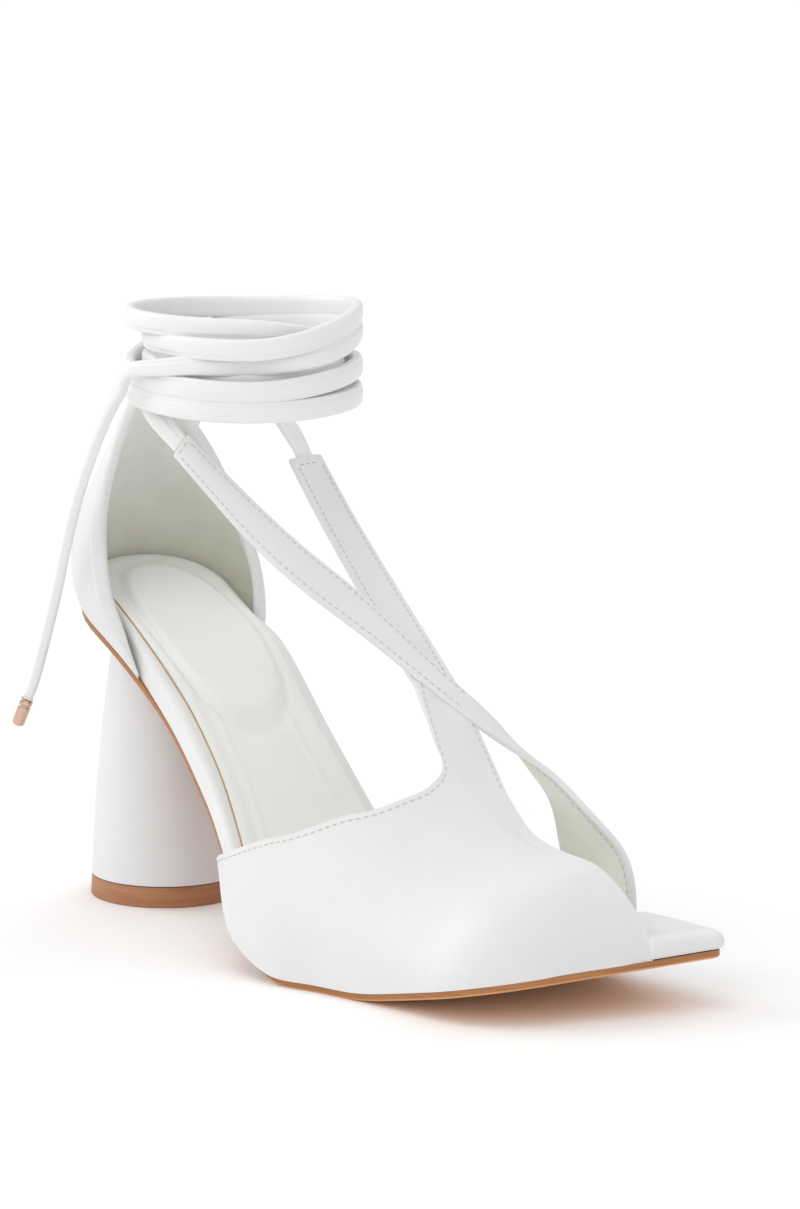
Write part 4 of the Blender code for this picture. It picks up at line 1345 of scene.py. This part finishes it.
def settled(grid):
    """Smooths the vamp's skin and brings its rim down onto the sole."""
    loose = np.array([1.0 - ease(*SMOOTHING_FADE, t) for t in VAMP_STEPS])[None, 1:-1, None]
    for _ in range(VAMP_SMOOTHING):
        mean = (grid[:-2, 1:-1] + grid[2:, 1:-1] + grid[1:-1, :-2] + grid[1:-1, 2:]) / 4
        grid[1:-1, 1:-1] += (mean - grid[1:-1, 1:-1]) * loose
    drops = [z - upper_floor(x) + RIM_TUCK for x, _, z in grid[: TOE_END + 1, -1]]
    for i, row in enumerate(grid):
        for point in row:
            over = point[2] - upper_floor(point[0])
            point[2] -= drops[min(i, TOE_END)] * (1.0 - ease(0.0, RIM_REACH, over))
    return grid


def vamp_surface():
    """The vamp's outer face with its strap: rows from topline to rim, then up the strap to its tab."""
    grid = settled(vamp_grid())
    ends = (grid[-1, 0], grid[-1, -1])
    first, second = (along(edge, STRAP_A_ROWS + 1)[1:, None] for edge in zip(ends, *STRAP_A))
    t = VAMP_STEPS[:, None]
    grid = np.concatenate([grid, first + (second - first) * t])
    swell = -crease_drops(grid)
    for i in range(STRAP_A_ROWS):
        swell[i - STRAP_A_ROWS] = STRAP_A_CROWN * 4 * (t * (1 - t))[:, 0] * ease(0, CROWN_ROWS, i)
    return grid + grid_normals(grid) * swell[:, :, None]


def seam_path(grid, rows, way, inset):
    """A line on a grid's face, inset from its first edge (way 1) or its last (-1), with normals."""
    normals = grid_normals(grid)
    points, facing = [], []
    for i in rows:
        reach = lengths(grid[i, ::way])
        if reach[-1] >= 2 * inset:
            points.append(read(inset, reach, grid[i, ::way]))
            facing.append(read(inset, reach, normals[i, ::way]))
    return np.array(points), unit(np.array(facing))


def end_path(grid, row, inset):
    """A line across a strap's end, as far in from both edges as a seam."""
    reach = lengths(grid[row])
    keep = np.linspace(inset, reach[-1] - inset, END_SAMPLES)
    return read(keep, reach, grid[row]), unit(read(keep, reach, grid_normals(grid)[row]))


def add_stitches(seams):
    """Rows of short thread stitches that lie in the leather along the given seams."""
    points, faces = [], []
    turns = round_turns(STITCH_SIDES)[:, None]
    for path, normals in seams:
        reach = lengths(path)
        for k in range(int(reach[-1] / STITCH_PITCH)):
            middle = (k + 0.5) * STITCH_PITCH
            line = read(middle + np.linspace(-0.5, 0.5, STITCH_RINGS) * STITCH_LENGTH, reach, path)
            normal = unit(read(middle, reach, normals))
            side = np.cross(normal, unit(line[-1] - line[0]))
            faces += ring_faces(STITCH_RINGS, STITCH_SIDES, len(points))
            for n, spot in enumerate(line):
                swell = math.sin(math.pi * (n + STITCH_TIP) / (STITCH_RINGS - 1 + 2 * STITCH_TIP))
                radius = STITCH_RADIUS * (STITCH_END + (1 - STITCH_END) * swell)
                ring = (side * np.cos(turns) + normal * np.sin(turns)) * radius
                points += list(spot + normal * STITCH_RADIUS * (swell - STITCH_SUNK) + ring)
    add_piece(mesh_of("upper_stitching", points, faces), [SHADED_THREAD], "upper_leather")


def make_hem(strap):
    """Leather turned in over the crossing strap's front edge, and the seam that holds it."""
    rows = range(HEM_START, STRAP_B_SEAM)
    path, out = seam_path(strap, rows, 1, HEM_WIDTH / 2 + HEM_INSET)
    sections = [(HEM_WIDTH, HEM_THICKNESS)] * len(path)
    add_piece(cord_mesh("crossing_hem", path - out * WALL, out, sections), [WHITE], "upper_leather")
    path, out = seam_path(strap, rows, 1, HEM_WIDTH + HEM_INSET - HEM_SEAM)
    return path - out * (WALL + HEM_THICKNESS / 2), -out


def make_tab_edge(name, grid):
    """Thin raw edge of leather across the end of a strap, where its layers close on the tie."""
    out = grid_normals(grid)[-1]
    ahead = unit(grid[-1] - grid[-2])
    path = grid[-1] - out * WALL / 2 + ahead * RAW_EDGE_OUT
    mesh = tube_mesh(name, path, ahead, out, [RAW_EDGE] * len(path), RAW_EDGE_SIDES, ROUND_POWER)
    add_piece(mesh, [PIPING], "upper_leather")


def make_upper():
    vamp, strap = vamp_surface(), strap_surface()
    pieces = (("vamp_leather", vamp, LINING), ("crossing_strap", strap, STRAP_LINING))
    for name, grid, inner in pieces:
        shell(add_piece(grid_mesh(name, grid), [WHITE, inner], "upper_leather", "upper"), WALL)
    last = len(vamp) - 1
    strap_rows = range(STRAP_B_SEAM, STRAP_B_ROWS)
    seams = [
        seam_path(vamp, range(SEAM_START, last), 1, STITCH_INSET),
        seam_path(vamp, range(EDGE_END - EDGE_SEAM_ROWS, last), -1, STITCH_INSET),
        end_path(vamp, last - TAB_SEAM_ROWS[0], STITCH_INSET),
        seam_path(strap, strap_rows, 1, STITCH_INSET),
        seam_path(strap, strap_rows, -1, STITCH_INSET),
        end_path(strap, STRAP_B_ROWS - TAB_SEAM_ROWS[1], STITCH_INSET),
        make_hem(strap),
    ]
    add_stitches(seams)
    make_tab_edge("tab_edge_medial", vamp)
    make_tab_edge("tab_edge_lateral", strap)


def make_counter():
    grid = counter_surface()
    mesh = grid_mesh("counter_leather", grid)
    piece = add_piece(mesh, [WHITE, COUNTER_LINING], "counter_leather", "heel_counter")
    columns = range(grid.shape[1])
    ends = [ease(*COUNTER_TAPER, min(n, columns[-1] - n)) for n in columns]
    shell(piece, COUNTER_WALL, ends * grid.shape[0])
    down = unit(grid[-1 - RIM_FOLD_ROWS] - grid[-1])
    out = grid_normals(grid)[-1]
    medial, lateral = RIM_FOLD_TAPER
    full = np.array([[ease(0, medial, n) * ease(0, lateral, columns[-1] - n)] for n in columns])
    path = grid[-1] + (down * RIM_FOLD[0] * RIM_FOLD_SIT - out * COUNTER_WALL / 2) * full
    sections = RIM_FOLD_END + full * (np.array(RIM_FOLD) - RIM_FOLD_END)
    add_piece(cord_mesh("counter_fold", path, out, sections), [WHITE], "counter_leather")


# Stage


def make_stage():
    material, _, _ = new_material("floor", Base_Color=(*FLOOR_COLOUR, 1.0), Roughness=FLOOR_ROUGHNESS)
    rows = [[(x, y, 0.0) for x in (-FLOOR_HALF, FLOOR_HALF)] for y in (-FLOOR_HALF, FLOOR_HALF)]
    floor = add_object("floor", grid_mesh("floor", rows))
    floor.data.materials.append(material)


def make_light():
    """White surroundings and broad, soft lights from far off, so that the floor stays evenly lit."""
    scene = bpy.context.scene
    scene.view_settings.view_transform = "Standard"
    scene.world = bpy.data.worlds.new("studio")
    scene.world.use_nodes = True
    background = scene.world.node_tree.nodes["Background"]
    set_sockets(background, {"Color": (1.0, 1.0, 1.0, 1.0), "Strength": WORLD_LIGHT})
    for name, azimuth, elevation, power in SUNS:
        data = bpy.data.lights.new(name, "SUN")
        data.angle = math.radians(SUN_SPREAD)
        data.energy = power
        light = add_object(name, data)
        light.location = direction(azimuth, elevation)
        turn_to(light, -light.location, "-Z")


make_camera()
make_ties()
make_outsole()
make_footbed()
make_piping()
make_heel()
make_lift()
make_upper()
make_counter()
make_stage()
make_light()
